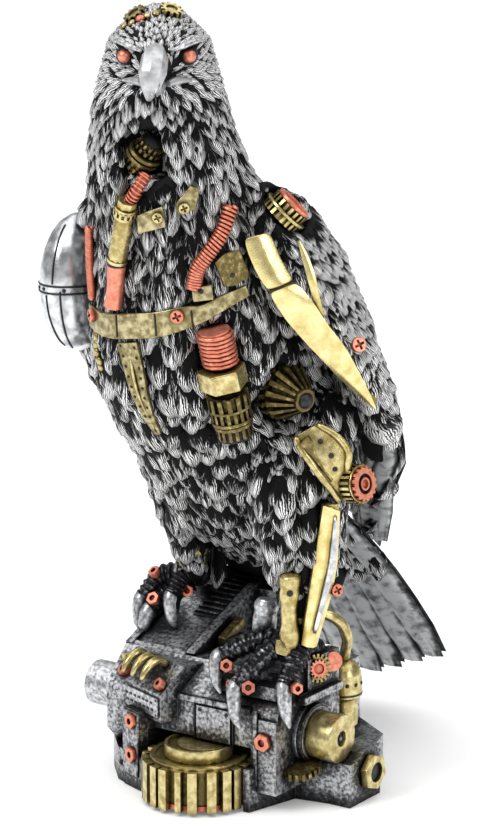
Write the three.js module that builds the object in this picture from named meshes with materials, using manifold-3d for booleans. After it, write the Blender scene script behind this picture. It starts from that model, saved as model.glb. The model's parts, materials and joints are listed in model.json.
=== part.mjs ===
// Steampunk eagle figurine: a feathered eagle casting that perches on an engine plinth and carries brass,
// copper and silver fittings. Millimetres, +Z up, the bird faces -Y and its left side is +X.
import * as THREE from "three";
import { mergeVertices } from "three/addons/utils/BufferGeometryUtils.js";
import Module from "manifold-3d";

const wasm = await Module();
wasm.setup();

// Driving dimensions
const GAP = 0.3; // clearance between pieces that touch
const HEIGHT = 253; // floor to crown
const FEATHER_STEP = 1.3; // how far a feather's edge stands proud of the next row
const HEAD_TURN = 33; // degrees that the head turns to the bird's left
const HEAD_AXIS = [0, -34.5];

// Torso profile from crown to vent: height, fore and aft place of the centre, half width, half depth
const BODY = [
  [56, 36, 22, 7],
  [65, 32, 26.5, 12.5],
  [74, 24, 26.5, 18],
  [84, 15.5, 27.5, 25],
  [101, 9.5, 30, 30],
  [128, -3.5, 36, 38],
  [148.5, -10.5, 34.5, 36.5],
  [177.5, -17, 31.5, 32.5],
  [196, -27.5, 26, 26.5],
  [213.5, -33.5, 22, 23],
  [232, -34.5, 18.2, 19],
  [246, -34.5, 13.2, 14],
  [HEIGHT, -34.5, 2, 2],
];
const BACK_FULLNESS = 0.13; // how far the back's corners fill out towards the wings
const BODY_FEATHERS = 12; // feathers round one row
const BODY_FIRST_ROW = 222;
const BODY_LAST_ROW = 92;
const BODY_ROW_PITCH = 12.9;
const BODY_TIP = 5; // how far a feather's point hangs below its row
const CROWN_RINGS = [HEIGHT, 249.5, 242, 232];
const VENT_RINGS = [82, 74, 65, 56];
const TRUNK = { low: 75, long: 125 }; // where the back is filled out

// Folded wing: share of its length, centre x, y and z, half width, half thickness
const WING = [
  [0, 27, -21, 199, 3, 2],
  [0.1, 35, -15, 184, 14, 7],
  [0.26, 41, -4, 165, 18, 8],
  [0.52, 42.5, 15.5, 133, 20, 8],
  [0.7, 33.5, 31, 112, 19, 7],
  [0.86, 21, 46, 92, 13, 5],
  [1, 13, 63, 69, 4, 2],
];
// The wing's flat side faces outwards at the shoulder and backwards over the tail
const WING_FACES = [
  [0, 0.85, -0.25, 0.45],
  [0.5, 0.7, 0.45, 0.45],
  [1, 0.4, 0.8, 0.45],
];
const WING_FEATHERS = 6;
const WING_ROWS = [0.24, 0.38, 0.52, 0.66, 0.82];
const WING_TIP = 0.04;

// Feathered thighs: share of the length, centre x, y and z, half width, half depth
const LEFT_THIGH = [
  [0, 24, 4, 126, 19, 20],
  [0.3, 29.5, -2.5, 106, 18, 18.5],
  [0.58, 32, -6, 88, 14, 15],
  [0.82, 33.5, -7, 72, 9.5, 10.5],
  [1, 34, -7.5, 59, 5.5, 6],
];
const RIGHT_THIGH = [
  [0, -17, 10, 126, 19, 20],
  [0.3, -19, 7.5, 107, 16.5, 17.5],
  [0.58, -18.5, 6.6, 91, 12.5, 13.5],
  [0.82, -18, 6.6, 79, 8.5, 9],
  [1, -18, 7, 69, 5, 5.5],
];
const THIGH_FEATHERS = 5;
const THIGH_ROWS = [0.4, 0.6, 0.8];
const THIGH_TIP = 0.07;

// Tail fan: spread is the step from one feather to the next
const TAIL_FEATHERS = 7;
const TAIL_ROOT = { spread: 5.2, y: 34, z: 88 };
const TAIL_END = { spread: 8.8, y: 89, z: 13, rise: 3.6, draw: 1.2 };
const TAIL_ARCH = 3;
const TAIL_RADII = [5, 7, 7.6, 5];
const TAIL_FLAT = 0.28;

// Toes, each from the ankle over the knuckles to the talon's point
const LEFT_TOES = [
  [[33, -9, 52], [22, -13.5, 51.5], [12.4, -20.5, 46.5], [14.6, -24.2, 36]],
  [[34, -10, 53], [28, -17, 49.5], [22.2, -26.2, 40], [25.4, -29.5, 27.5]],
  [[35, -9, 52], [36.6, -15, 48], [36.2, -20, 41], [39.4, -22.3, 28.5]],
  [[34, -7, 51], [32, 2, 46.5], [31, 8, 42], [31, 12, 37]],
];
const RIGHT_TOES = [
  [[-18.5, 7.5, 62.5], [-27.5, 4, 60.5], [-32, -0.5, 54], [-30.5, -4, 43.5]],
  [[-18.5, 7, 60], [-24.5, 2.5, 55.5], [-28, -2, 51], [-28, -5, 43]],
  [[-18, 7, 62], [-19.8, 4, 60.5], [-21, 0.5, 56], [-18.5, -1, 45.5]],
  [[-18.5, 8, 62], [-19.5, 13, 60.5], [-21.5, 18, 58.5], [-23.5, 21.5, 56.5]],
];
const TOE_RADII = [4, 3.8, 3.1, 0.5];
const LEFT_TARSUS = [[33.8, -7, 66], [34, -8.5, 50]];
const RIGHT_TARSUS = [[-17.5, 6.5, 76], [-18.5, 7.5, 60]];
const TARSUS_RADII = [4.9, 4.3];

// Plinth
const ENGINE = { y: -6, z: 24, across: 36, from: -30, to: 36 };
const SLAB = { x: -17, wide: 26, long: 47, thick: 8, front: -12, top: 41.5, slope: 22 };
const GEARBOX = { x: -17, y: -25.2, turn: -21, long: 27, low: 24, front: 33, top: 41, deep: 9, back: 22 };
const SPUR_GEAR = { x: 7.2, y: -25.5, z: 1, radius: 18.3, teeth: 22, tall: 13.5, hub: 11, hubTall: 4.5 };
const GEAR_PLAY = 0.8; // room round the spur gear in its well
const LEFT_DRUM = { radius: 7.2, from: -47, to: -28 };
const END_AXIS = { y: -6, z: 22 };
const FLANGE = { radius: 9.8, from: 34, to: 39.2 };
const END_CAP = { from: 39.5, radius: 7.7, long: 9, bore: 2.2, boreFloor: 6.6, edge: 0.8 };
const TANK = { x: 33.2, y: 18.5, from: 18, radius: 6.2, stem: 4.8 };
const VENTS = { count: 7, first: 21, pitch: 3.4, x: 4.4, wide: 8.4, tall: 1.6, deep: 2.2 };
const FOOTING_TALL = 14;
const FOOTING_OUTLINE = [
  [-34, -4], [-20, -24], [6, -30], [28, -28], [33, -9], [44, -7],
  [48, 14], [44, 26], [26, 38], [-18, 38], [-34, 26],
];
const LEFT_BLOCK_TALL = 11;
const LEFT_BLOCK = [[-34, -15], [-25, -25], [-11.5, -31], [-4, -18], [-30, -4]];
const BRACKET_TALL = 26;
const BRACKET = [[-21, -27.3], [-13, -30.4], [-9, -20], [-17, -17]];
const RIGHT_BLOCK = { min: [42, -7, 0], max: [52.2, 11, 16.5] };
const REAR_BOX = { min: [-6, 4, 0], max: [30, 34, 36] };
const REAR_POST = { min: [-6, 23, 30], max: [10, 35, 56] };
const GUSSET = { min: [29, -25, 6], max: [36, 6, 30] };
const BOSS = { min: [10, -22, 36], max: [34, 8, 40] };
const END_BLOCK = { min: [33.5, -9, 34], max: [37.6, 9, 46.5] };
const CRANKCASE = { from: -30.5, wide: 27, profile: [[-9, 34], [31, 51], [36, 40], [34, 0], [4, 0]] };
const FOOTING_NUT = { y: 4, z: 9.4 };
const OPEN_SIDE = 60; // well beyond the figurine, for cuts that run out into the open

const SILVER = new THREE.MeshStandardMaterial({ color: 0x6c6f75, roughness: 0.42, metalness: 0.85 });
const STEEL = new THREE.MeshStandardMaterial({ color: 0xb4b8bd, roughness: 0.3, metalness: 0.9 });
const BRASS = new THREE.MeshStandardMaterial({ color: 0xb59b52, roughness: 0.38, metalness: 0.85 });
const COPPER = new THREE.MeshStandardMaterial({ color: 0xd9765c, roughness: 0.4, metalness: 0.7 });
const BLACK = new THREE.MeshStandardMaterial({ color: 0x17181a, roughness: 0.55, metalness: 0.4 });

// Small vector and matrix helpers
const vec = (x, y, z) => new THREE.Vector3(x, y, z);
const rad = THREE.MathUtils.degToRad;
const UP = vec(0, 0, 1);

// Matrix whose local Z points along a normal, with local Y towards the given up direction
function facing(at, normal, up = UP) {
  const z = normal.clone().normalize();
  const x = up.clone().cross(z).normalize();
  const y = z.clone().cross(x);
  return new THREE.Matrix4().makeBasis(x, y, z).setPosition(at);
}

// Smooth value of a station table at a place along its first column
function along(stations, place) {
  const last = stations.length - 1;
  const found = stations.findLastIndex((row) => row[0] <= place);
  const i = Math.min(Math.max(found, 0), last - 1);
  const slope = (j, column) => {
    const before = stations[Math.max(j - 1, 0)];
    const after = stations[Math.min(j + 1, last)];
    return (after[column] - before[column]) / (after[0] - before[0]);
  };
  const span = stations[i + 1][0] - stations[i][0];
  const u = (place - stations[i][0]) / span;
  const columns = stations[i].keys().drop(1);
  return Array.from(columns, (column) => {
    const rise = stations[i + 1][column] - stations[i][column];
    const m0 = slope(i, column) * span;
    const m1 = slope(i + 1, column) * span;
    return stations[i][column] + u * (m0 + u * (3 * rise - 2 * m0 - m1 + u * (m0 + m1 - 2 * rise)));
  });
}

// Closed skin over a run of rings with equal point counts
function loft(rings) {
  const sides = rings[0].length;
  const middle = (ring) => ring.reduce((sum, p) => sum.add(p), vec(0, 0, 0)).divideScalar(sides);
  const points = [...rings.flat(), middle(rings[0]), middle(rings.at(-1))];
  const base = (rings.length - 1) * sides;
  const [first, last] = [points.length - 2, points.length - 1];
  const faces = [];
  for (let i = 0; i < sides; i++) {
    const j = (i + 1) % sides;
    for (let r = 0; r < base; r += sides) {
      faces.push(r + i, r + j, r + j + sides, r + i, r + j + sides, r + i + sides);
    }
    faces.push(first, j, i, last, base + i, base + j);
  }
  let volume = 0;
  for (let f = 0; f < faces.length; f += 3) {
    const [a, b, c] = faces.slice(f, f + 3).map((k) => points[k]);
    volume += a.dot(b.clone().cross(c));
  }
  const geometry = new THREE.BufferGeometry().setFromPoints(points);
  geometry.setIndex(volume < 0 ? faces.reverse() : faces);
  return geometry;
}

// Rod or hose along a smooth curve, with radii spread evenly over its length
function rod(points, radii, { sides = 8, steps = 8, flat = 1, grow = 0 } = {}) {
  const curve = new THREE.CatmullRomCurve3(points.map((p) => vec(...p)));
  const { normals, binormals } = curve.computeFrenetFrames(steps);
  const rings = [];
  for (let k = 0; k <= steps; k++) {
    const u = k / steps;
    const at = u * (radii.length - 1);
    const i = Math.min(Math.floor(at), radii.length - 2);
    const radius = THREE.MathUtils.lerp(radii[i], radii[i + 1], at - i) + grow;
    const centre = curve.getPointAt(u);
    rings.push(
      Array.from({ length: sides }, (_, n) => {
        const angle = (2 * Math.PI * (n + 0.5)) / sides;
        const across = normals[k].clone().multiplyScalar(radius * Math.cos(angle));
        return centre.clone().add(across).addScaledVector(binormals[k], radius * flat * Math.sin(angle));
      })
    );
  }
  return loft(rings);
}

// Rings of one feather row after another: each row ends in points and drops to the root of the next row
function featherRings(surface, rows, count, tip) {
  const ring = (row, parity, sink) =>
    Array.from({ length: 2 * count }, (_, i) =>
      surface(row + ((i + parity) % 2 ? tip : 0), (Math.PI * i) / count, sink)
    );
  return rows.flatMap((row, k) => [ring(row, k % 2, 0), ring(row, k % 2, FEATHER_STEP)]);
}

// Plain ring on a surface with the same point count as a feather row
const plainRing = (surface, place, count, sink = 0) =>
  Array.from({ length: 2 * count }, (_, i) => surface(place, (Math.PI * i) / count, sink));

const bodySurface = (z, angle, sink = 0) => {
  const [y, wide, deep] = along(BODY, z);
  const trunk = Math.sin(Math.PI * THREE.MathUtils.clamp((z - TRUNK.low) / TRUNK.long, 0, 1));
  const rear = Math.sin(angle) > 0 ? Math.sin(2 * angle) ** 2 : 0;
  const full = 1 + BACK_FULLNESS * trunk * rear;
  return vec((wide * full - sink) * Math.cos(angle), y + (deep * full - sink) * Math.sin(angle), z);
};

// Surface of a wing or thigh whose section turns with its own axis
const limbSurface = (stations, faces) => (place, angle, sink = 0) => {
  const [x, y, z, wide, thick] = along(stations, place);
  const ahead = vec(...along(stations, place + 0.01));
  const axis = ahead.sub(vec(...along(stations, place - 0.01))).normalize();
  const face = vec(...along(faces, place));
  const out = face.clone().addScaledVector(axis, -axis.dot(face)).normalize();
  const side = axis.clone().cross(out);
  const point = vec(x, y, z).addScaledVector(side, (wide - sink) * Math.cos(angle));
  return point.addScaledVector(out, Math.max(thick - sink, 1) * Math.sin(angle));
};

// Matrix on the torso's skin, at an angle round it and a height, lifted off along the normal
function bodyFrame(angleDegrees, z, lift = 0) {
  const angle = rad(angleDegrees);
  const at = bodySurface(z, angle);
  const around = bodySurface(z, angle + 0.01).sub(at);
  const rise = bodySurface(z + 0.5, angle).sub(at);
  const normal = around.cross(rise).normalize();
  return facing(at.addScaledVector(normal, lift), normal, rise);
}

const onBody = (angleDegrees, z, lift) =>
  new THREE.Vector3().setFromMatrixPosition(bodyFrame(angleDegrees, z, lift)).toArray();

// Boolean helpers
function solid(geometry) {
  const bare = new THREE.BufferGeometry();
  bare.setAttribute("position", geometry.getAttribute("position"));
  bare.setIndex(geometry.getIndex());
  const merged = mergeVertices(bare, 1e-4);
  const vertProperties = new Float32Array(merged.getAttribute("position").array);
  const triVerts = new Uint32Array(merged.getIndex().array);
  return new wasm.Manifold(new wasm.Mesh({ numProp: 3, vertProperties, triVerts }));
}
const join = (geometries) => geometries.map(solid).reduce((sum, next) => sum.add(next));
const cut = (from, geometries) => geometries.map(solid).reduce((rest, next) => rest.subtract(next), from);

// The largest body of a solid, as a geometry
function geometryOf(body) {
  const largest = body.decompose().reduce((a, b) => (b.volume() > a.volume() ? b : a));
  const mesh = largest.getMesh();
  const geometry = new THREE.BufferGeometry();
  geometry.setAttribute("position", new THREE.BufferAttribute(mesh.vertProperties, mesh.numProp));
  geometry.setIndex(new THREE.BufferAttribute(mesh.triVerts, 1));
  return geometry;
}

// Plain shapes
const box = (min, max) => {
  const size = max.map((value, i) => value - min[i]);
  const centre = max.map((value, i) => (value + min[i]) / 2);
  return new THREE.BoxGeometry(...size).translate(...centre);
};
const ellipsoid = (centre, radii, around = 16, down = 10) =>
  new THREE.SphereGeometry(1, around, down).scale(...radii).translate(...centre);
const drum = (radius, from, to, sides = 20) =>
  new THREE.CylinderGeometry(radius, radius, to - from, sides)
    .rotateX(Math.PI / 2)
    .translate(0, 0, (from + to) / 2);
const cone = (low, high, from, to, sides) =>
  new THREE.CylinderGeometry(high, low, to - from, sides)
    .rotateX(Math.PI / 2)
    .translate(0, 0, (from + to) / 2);
const prism = (points, depth) =>
  new THREE.ExtrudeGeometry(new THREE.Shape(points.map((p) => new THREE.Vector2(...p))), {
    depth,
    bevelEnabled: false,
  });
const lathe = (profile, sides) =>
  new THREE.LatheGeometry(profile.map((p) => new THREE.Vector2(...p)), sides).rotateX(Math.PI / 2);

// Toothed wheel on local Z with flat-topped teeth
function spurTeeth(radius, teeth, toothDepth, from, to) {
  const points = [];
  for (let i = 0; i < teeth; i++) {
    for (const [share, sunk] of [[0, 1], [0.2, 0], [0.55, 0], [0.75, 1]]) {
      const angle = (2 * Math.PI * (i + share)) / teeth;
      const r = radius - sunk * toothDepth;
      points.push([r * Math.cos(angle), r * Math.sin(angle)]);
    }
  }
  return prism(points, to - from).translate(0, 0, from);
}

// Small pointed-tooth wheel on local Z, straight or tapered from its low to its high radius
function pinion(low, high, teeth, toothDepth, from, to) {
  const ring = (radius, z) =>
    Array.from({ length: 2 * teeth }, (_, i) => {
      const angle = (Math.PI * i) / teeth;
      const r = radius - toothDepth * (i % 2);
      return vec(r * Math.cos(angle), r * Math.sin(angle), z);
    });
  return loft([ring(low, from), ring(high, to)]);
}

// Flat strap laid over the torso through places of angle, height and width
function strap(route, thick, steps) {
  const rows = route.map((row, i) => [i / (route.length - 1), ...row]);
  const rings = [];
  for (let k = 0; k <= steps; k++) {
    const u = k / steps;
    const [angle, z, width] = along(rows, u);
    const frame = bodyFrame(angle, z);
    const at = vec().setFromMatrixPosition(frame);
    const normal = vec().setFromMatrixColumn(frame, 2);
    const [ahead, aheadZ] = along(rows, Math.min(u + 0.01, 1));
    const [behind, behindZ] = along(rows, Math.max(u - 0.01, 0));
    const run = vec(...onBody(ahead, aheadZ, 0)).sub(vec(...onBody(behind, behindZ, 0)));
    const side = run.cross(normal).normalize();
    const corner = (across, lift) => at.clone().addScaledVector(side, across).addScaledVector(normal, lift);
    const [low, high] = [0.5, 0.5 + thick];
    const half = width / 2;
    rings.push([corner(-half, low), corner(half, low), corner(half, high), corner(-half, high)]);
  }
  return loft(rings);
}

const figurine = new THREE.Group();
function piece(name, geometry, material) {
  const mesh = new THREE.Mesh(geometry, material);
  mesh.name = name;
  figurine.add(mesh);
}

// Head: brow ridges, hooked beak and eye places, in the turned head's own frame
const headFrame = new THREE.Matrix4()
  .makeRotationZ(rad(HEAD_TURN))
  .setPosition(HEAD_AXIS[0], HEAD_AXIS[1], 0);
const headPoint = (side, forward, z) => vec(side, -forward, z).applyMatrix4(headFrame).toArray();
const SKULL = { forward: 2.5, z: 238, radii: [16, 19.5, 13] };
const EYE = { side: 9.4, forward: 17.4, z: 238.6, radius: 2.1 };
const skull = () => ellipsoid([0, -SKULL.forward, SKULL.z], SKULL.radii, 10, 6).applyMatrix4(headFrame);

function beak() {
  const upper = [[15, 236], [23, 237], [29.5, 234.6], [31.2, 227]];
  const lower = [[15, 231.5], [22, 230.4], [27.5, 229.8]];
  const path = (profile) => profile.map(([forward, z]) => headPoint(0, forward, z));
  return [
    rod(path(upper), [6.4, 5.4, 3.6, 0.5], { sides: 8, steps: 5 }),
    rod(path(lower), [4.4, 3, 0.8], { sides: 6, steps: 2 }),
  ];
}
const brow = (side) =>
  rod(
    [headPoint(side * 4, 20.4, 241), headPoint(side * 9.5, 17.6, 242.4), headPoint(side * 14.2, 9.5, 242.6)],
    [1.6, 2.4, 1.2],
    { sides: 5, steps: 2 }
  );

// Eagle casting
function torso() {
  const rows = [];
  for (let z = BODY_FIRST_ROW; z >= BODY_LAST_ROW; z -= BODY_ROW_PITCH) rows.push(z);
  return loft([
    ...CROWN_RINGS.map((z) => plainRing(bodySurface, z, BODY_FEATHERS)),
    ...featherRings(bodySurface, rows, BODY_FEATHERS, -BODY_TIP),
    ...VENT_RINGS.map((z) => plainRing(bodySurface, z, BODY_FEATHERS)),
  ]);
}
const mirrored = (stations) => stations.map(([s, x, ...rest]) => [s, -x, ...rest]);
function limb(stations, faces, count, rows, tip, starts) {
  const surface = limbSurface(stations, faces);
  return loft([
    ...starts.map((place) => plainRing(surface, place, count)),
    ...featherRings(surface, rows, count, tip),
    plainRing(surface, 1, count),
  ]);
}
const wing = (side) =>
  limb(
    side > 0 ? WING : mirrored(WING),
    side > 0 ? WING_FACES : mirrored(WING_FACES),
    WING_FEATHERS,
    WING_ROWS,
    WING_TIP,
    [0, 0.08]
  );
const THIGH_FACES = [
  [0, 0, -1, 0],
  [1, 0, -1, 0],
];
const thigh = (stations) => limb(stations, THIGH_FACES, THIGH_FEATHERS, THIGH_ROWS, THIGH_TIP, [0, 0.2]);

function tailFeather(k) {
  const out = Math.abs(k);
  const root = [k * TAIL_ROOT.spread, TAIL_ROOT.y, TAIL_ROOT.z - out];
  const tip = [k * TAIL_END.spread, TAIL_END.y - TAIL_END.draw * out, TAIL_END.z + TAIL_END.rise * out];
  const middle = root.map((value, i) => (value + tip[i]) / 2 + (i === 2 ? TAIL_ARCH : 0));
  return rod([root, middle, tip], TAIL_RADII, { sides: 6, steps: 3, flat: TAIL_FLAT });
}
const toe = (points) => rod(points, TOE_RADII, { sides: 5, steps: 3 });

// Places of the fittings that are let into the casting
const PLATE_LIFT = 0.4; // a thin fitting's back stands this far off the plumage's even surface
const PLATE_THICK = 1.3;
const ARMOUR = { at: [-42, -20, 161], radii: [11.5, 16, 23.5] };
const PLUG = { angle: -48, lift: 1.5, socket: 8.1 };
const BEVEL = { angle: -19, z: 131, bowl: 13.5, radius: 9, lift: 1.5 };
const THROAT = { angle: -72, z: 208.5, wide: 13.5, tall: 14, deep: 9 };
const BONE_TOP = [[35.5, -28.5, 187.5], [37, -29.5, 179.5], [40, -29, 166.5]];
const BONE_BLADE = [[40.3, -28.8, 165.8], [47, -19.5, 150], [54, 1.5, 129]];
const BONE_SPUR = [[42.5, -21, 182], [46.5, -19.5, 170], [49.2, -16.5, 156]];
const SHOULDER_GEAR = { at: [36, -18, 191.5], axis: [0.62, 0.3, 0.72], radius: 7 };
const LINK = [[41, -17.5, 121], [47.5, -12, 110], [52, -8, 103]];
const KNEE = { at: [51, -9, 104], axis: [0.85, -0.5, 0.15], radius: 6.5, sunk: 3 };
const SHANK = [[47, -11, 99], [45, -11, 78], [39.5, -12, 53]];
const PISTON = [[36, -17, 75], [35.5, -17, 65], [35, -15.5, 54]];
const CYLINDER = [[20.5, -6.5, 63], [20, -7.5, 55], [19.8, -9, 46.5]];

const armour = (grow = 0) => ellipsoid(ARMOUR.at, ARMOUR.radii.map((r) => r + grow), 12, 8);
const boneTop = (grow = 0) => rod(BONE_TOP, [4.6, 4.9, 4.4], { sides: 8, steps: 3, flat: 0.95, grow });
const boneBlade = (grow = 0) =>
  rod(BONE_BLADE, [4.2, 5.4, 4.6, 0.8], { sides: 8, steps: 5, flat: 0.8, grow });
const boneSpur = (grow = 0) => rod(BONE_SPUR, [0.9, 2.6, 2], { sides: 6, steps: 4, grow });
const shoulderFrame = facing(vec(...SHOULDER_GEAR.at), vec(...SHOULDER_GEAR.axis));
const kneeFrame = facing(vec(...KNEE.at), vec(...KNEE.axis));
const kneeSocket = () => drum(KNEE.radius + 2 * GAP, -KNEE.sunk - GAP, 9, 10).applyMatrix4(kneeFrame);
const plugPoint = (z) => onBody(PLUG.angle, z, PLUG.lift);
const throatFrame = bodyFrame(THROAT.angle, THROAT.z, 0);
const bevelFrame = bodyFrame(BEVEL.angle, BEVEL.z, BEVEL.lift);
const linkBar = (grow = 0) => rod(LINK, [4.8, 5, 4.4], { sides: 8, steps: 3, flat: 0.6, grow });
const shankRod = (grow = 0) => rod(SHANK, [3, 3.8, 2.8], { sides: 8, steps: 5, grow });
const pistonRod = (grow = 0) => rod(PISTON, [3, 3, 2.3, 2.3], { sides: 8, steps: 3, grow });
const cylinderRod = (grow = 0) => rod(CYLINDER, [2.8, 3.4, 3.4], { sides: 8, steps: 2, grow });

// Plinth casting, optionally grown by a clearance where the bird's feet stand on it
function plinthForms(grow = 0) {
  const half = ENGINE.across / 2 + grow;
  const flank = half * Math.tan(Math.PI / 8);
  const corners = [[half, flank], [flank, half], [-flank, half], [-half, flank]];
  const octagon = [...corners, ...corners.map(([y, z]) => [-y, -z])];
  const alongX = new THREE.Matrix4().makeBasis(vec(0, 1, 0), UP, vec(1, 0, 0));
  const engine = prism(octagon, ENGINE.to - ENGINE.from + 2 * grow)
    .applyMatrix4(alongX)
    .translate(ENGINE.from - grow, ENGINE.y, ENGINE.z);
  const slabHalf = SLAB.wide / 2 + grow;
  const slab = box([-slabHalf, -grow, -SLAB.thick - grow], [slabHalf, SLAB.long + grow, grow])
    .rotateX(rad(SLAB.slope))
    .translate(SLAB.x, SLAB.front, SLAB.top);
  const hood = [
    [-grow, GEARBOX.low - grow],
    [-grow, GEARBOX.front + grow],
    [GEARBOX.deep, GEARBOX.top + grow],
    [GEARBOX.back, GEARBOX.top + grow],
    [GEARBOX.back, GEARBOX.low - grow],
  ];
  const gearbox = prism(hood, GEARBOX.long + 2 * grow)
    .applyMatrix4(alongX)
    .translate(-GEARBOX.long / 2 - grow, 0, 0)
    .rotateZ(rad(GEARBOX.turn))
    .translate(GEARBOX.x, GEARBOX.y, 0);
  const upperBlocks = [BOSS, END_BLOCK].map(({ min, max }) =>
    box(min.map((value) => value - grow), max.map((value) => value + grow))
  );
  const crankcase = prism(CRANKCASE.profile, CRANKCASE.wide + 2 * grow)
    .applyMatrix4(alongX)
    .translate(CRANKCASE.from - grow, 0, 0);
  return [engine, slab, gearbox, ...upperBlocks, crankcase];
}
const onAxis = ({ y, z }, shape) => shape.rotateY(Math.PI / 2).translate(0, y, z);
function plinth() {
  const blocks = [RIGHT_BLOCK, REAR_BOX, REAR_POST, GUSSET].map(({ min, max }) => box(min, max));
  const forms = [
    prism(FOOTING_OUTLINE, FOOTING_TALL),
    prism(LEFT_BLOCK, LEFT_BLOCK_TALL),
    prism(BRACKET, BRACKET_TALL),
    ...blocks,
    onAxis(ENGINE, drum(LEFT_DRUM.radius, LEFT_DRUM.from, LEFT_DRUM.to)),
    onAxis(END_AXIS, drum(FLANGE.radius, FLANGE.from, FLANGE.to)),
    ...plinthForms(),
  ];
  const wellTop = SPUR_GEAR.z + SPUR_GEAR.tall + SPUR_GEAR.hubTall + GEAR_PLAY;
  const well = drum(SPUR_GEAR.radius + GEAR_PLAY, -1, wellTop).translate(SPUR_GEAR.x, SPUR_GEAR.y, 0);
  const vents = Array.from({ length: VENTS.count }, (_, k) =>
    box([-VENTS.wide / 2, -VENTS.tall / 2, -VENTS.deep], [VENTS.wide / 2, VENTS.tall / 2, VENTS.deep])
      .translate(VENTS.x, VENTS.first + VENTS.pitch * k, 0)
      .rotateX(rad(SLAB.slope))
      .translate(SLAB.x, SLAB.front, SLAB.top)
  );
  const tankSeat = drum(TANK.radius + GAP, TANK.from - GAP, OPEN_SIDE).translate(TANK.x, TANK.y, 0);
  const capSeat = onAxis(END_AXIS, drum(END_CAP.radius + GAP, END_CAP.from - GAP, OPEN_SIDE));
  return cut(join(forms), [well, ...vents, tankSeat, capSeat]);
}

piece("plinth", geometryOf(plinth()), SILVER);

const tail = Array.from({ length: TAIL_FEATHERS }, (_, k) => tailFeather(k - (TAIL_FEATHERS - 1) / 2));
const castingForms = [
  torso(),
  wing(1),
  wing(-1),
  thigh(LEFT_THIGH),
  thigh(RIGHT_THIGH),
  ...tail,
  ...[...LEFT_TOES, ...RIGHT_TOES].map(toe),
  ...[LEFT_TARSUS, RIGHT_TARSUS].map((points) => rod(points, TARSUS_RADII, { sides: 8, steps: 2 })),
  skull(),
  ...beak(),
  brow(1),
  brow(-1),
];
const eyeAt = (side) => headPoint(side * EYE.side, EYE.forward, EYE.z);
const sockets = [
  armour(GAP),
  boneTop(GAP),
  boneBlade(GAP),
  boneSpur(GAP),
  linkBar(GAP),
  shankRod(GAP),
  pistonRod(GAP),
  cylinderRod(GAP),
  ...[1, -1].map((side) => ellipsoid(eyeAt(side), Array(3).fill(EYE.radius + GAP), 6, 4)),
  rod([158, 138, 119].map(plugPoint), [PLUG.socket, PLUG.socket], { sides: 8, steps: 2, grow: GAP }),
  ellipsoid([0, 0, 0], Array(3).fill(BEVEL.bowl), 10, 6).applyMatrix4(bevelFrame),
  box([-THROAT.wide / 2, -THROAT.tall / 2, -THROAT.deep], [THROAT.wide / 2, THROAT.tall / 2, 6])
    .applyMatrix4(throatFrame),
  drum(SHOULDER_GEAR.radius + 2 * GAP, -4 - GAP, 12, 12).applyMatrix4(shoulderFrame),
  kneeSocket(),
];
const casting = cut(cut(join(castingForms), sockets), plinthForms(GAP));
piece("eagle", geometryOf(casting), SILVER);

// Head and throat fittings
for (const [name, side] of [["eye_left", 1], ["eye_right", -1]]) {
  piece(name, ellipsoid(eyeAt(side), Array(3).fill(EYE.radius), 6, 4), COPPER);
}
const crownGear = (radius) => pinion(radius, radius, 8, 0.9, 0, 1.4);
piece("crown_gear_front", crownGear(3.4).applyMatrix4(bodyFrame(-113, 249.4, PLATE_LIFT)), BRASS);
piece("crown_gear_top", crownGear(3.2).applyMatrix4(bodyFrame(-20, 250.6, PLATE_LIFT)), BRASS);
piece("throat_gear", pinion(5.4, 5.4, 12, 1.3, -8.6, -2).applyMatrix4(throatFrame), BRASS);
const HOSE_FOLD = 0.55; // depth of a hose's folds
const hose = (points, radius, folds) => {
  const radii = Array.from({ length: 2 * folds + 1 }, (_, k) => radius - HOSE_FOLD * (k % 2));
  return rod(points, radii, { sides: 5, steps: 2 * folds });
};
const laid = (route, lift) => route.map(([angle, z]) => onBody(angle, z, lift));
const throatRoute = laid([[-68.8, 201], [-76, 198.5], [-83, 195]], 2.6);
piece("throat_hose", hose(throatRoute, 2.2, 4), COPPER);
const sleeveRoute = laid([[-85.5, 194], [-88.5, 190], [-92, 184], [-97.5, 175.6]], 2.9);
piece("throat_sleeve", rod(sleeveRoute, [2.3, 2.6, 2.4, 2.4, 2.4], { sides: 8, steps: 4 }), BRASS);
const pipeRoute = laid([[-97.9, 174.9], [-100.5, 168], [-102.5, 161.8]], 3.2);
piece("throat_pipe", rod(pipeRoute, [2.7, 2.7], { sides: 8, steps: 3 }), COPPER);

const frontPlate = [[-5.6, -3.6], [3.6, -2.6], [4.4, 4], [-4.2, 2.6]];
const sidePlate = [[-4, -2.8], [1.6, -3.2], [4.6, 2.6], [2.2, 4.2], [-3.4, 0.6]];
const frontPlateAt = bodyFrame(-70.9, 190, PLATE_LIFT);
const sidePlateAt = bodyFrame(-45.8, 195.8, PLATE_LIFT);
piece("neck_plate_front", prism(frontPlate, PLATE_THICK).applyMatrix4(frontPlateAt), BRASS);
piece("neck_plate_side", prism(sidePlate, PLATE_THICK).applyMatrix4(sidePlateAt), BRASS);

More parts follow.
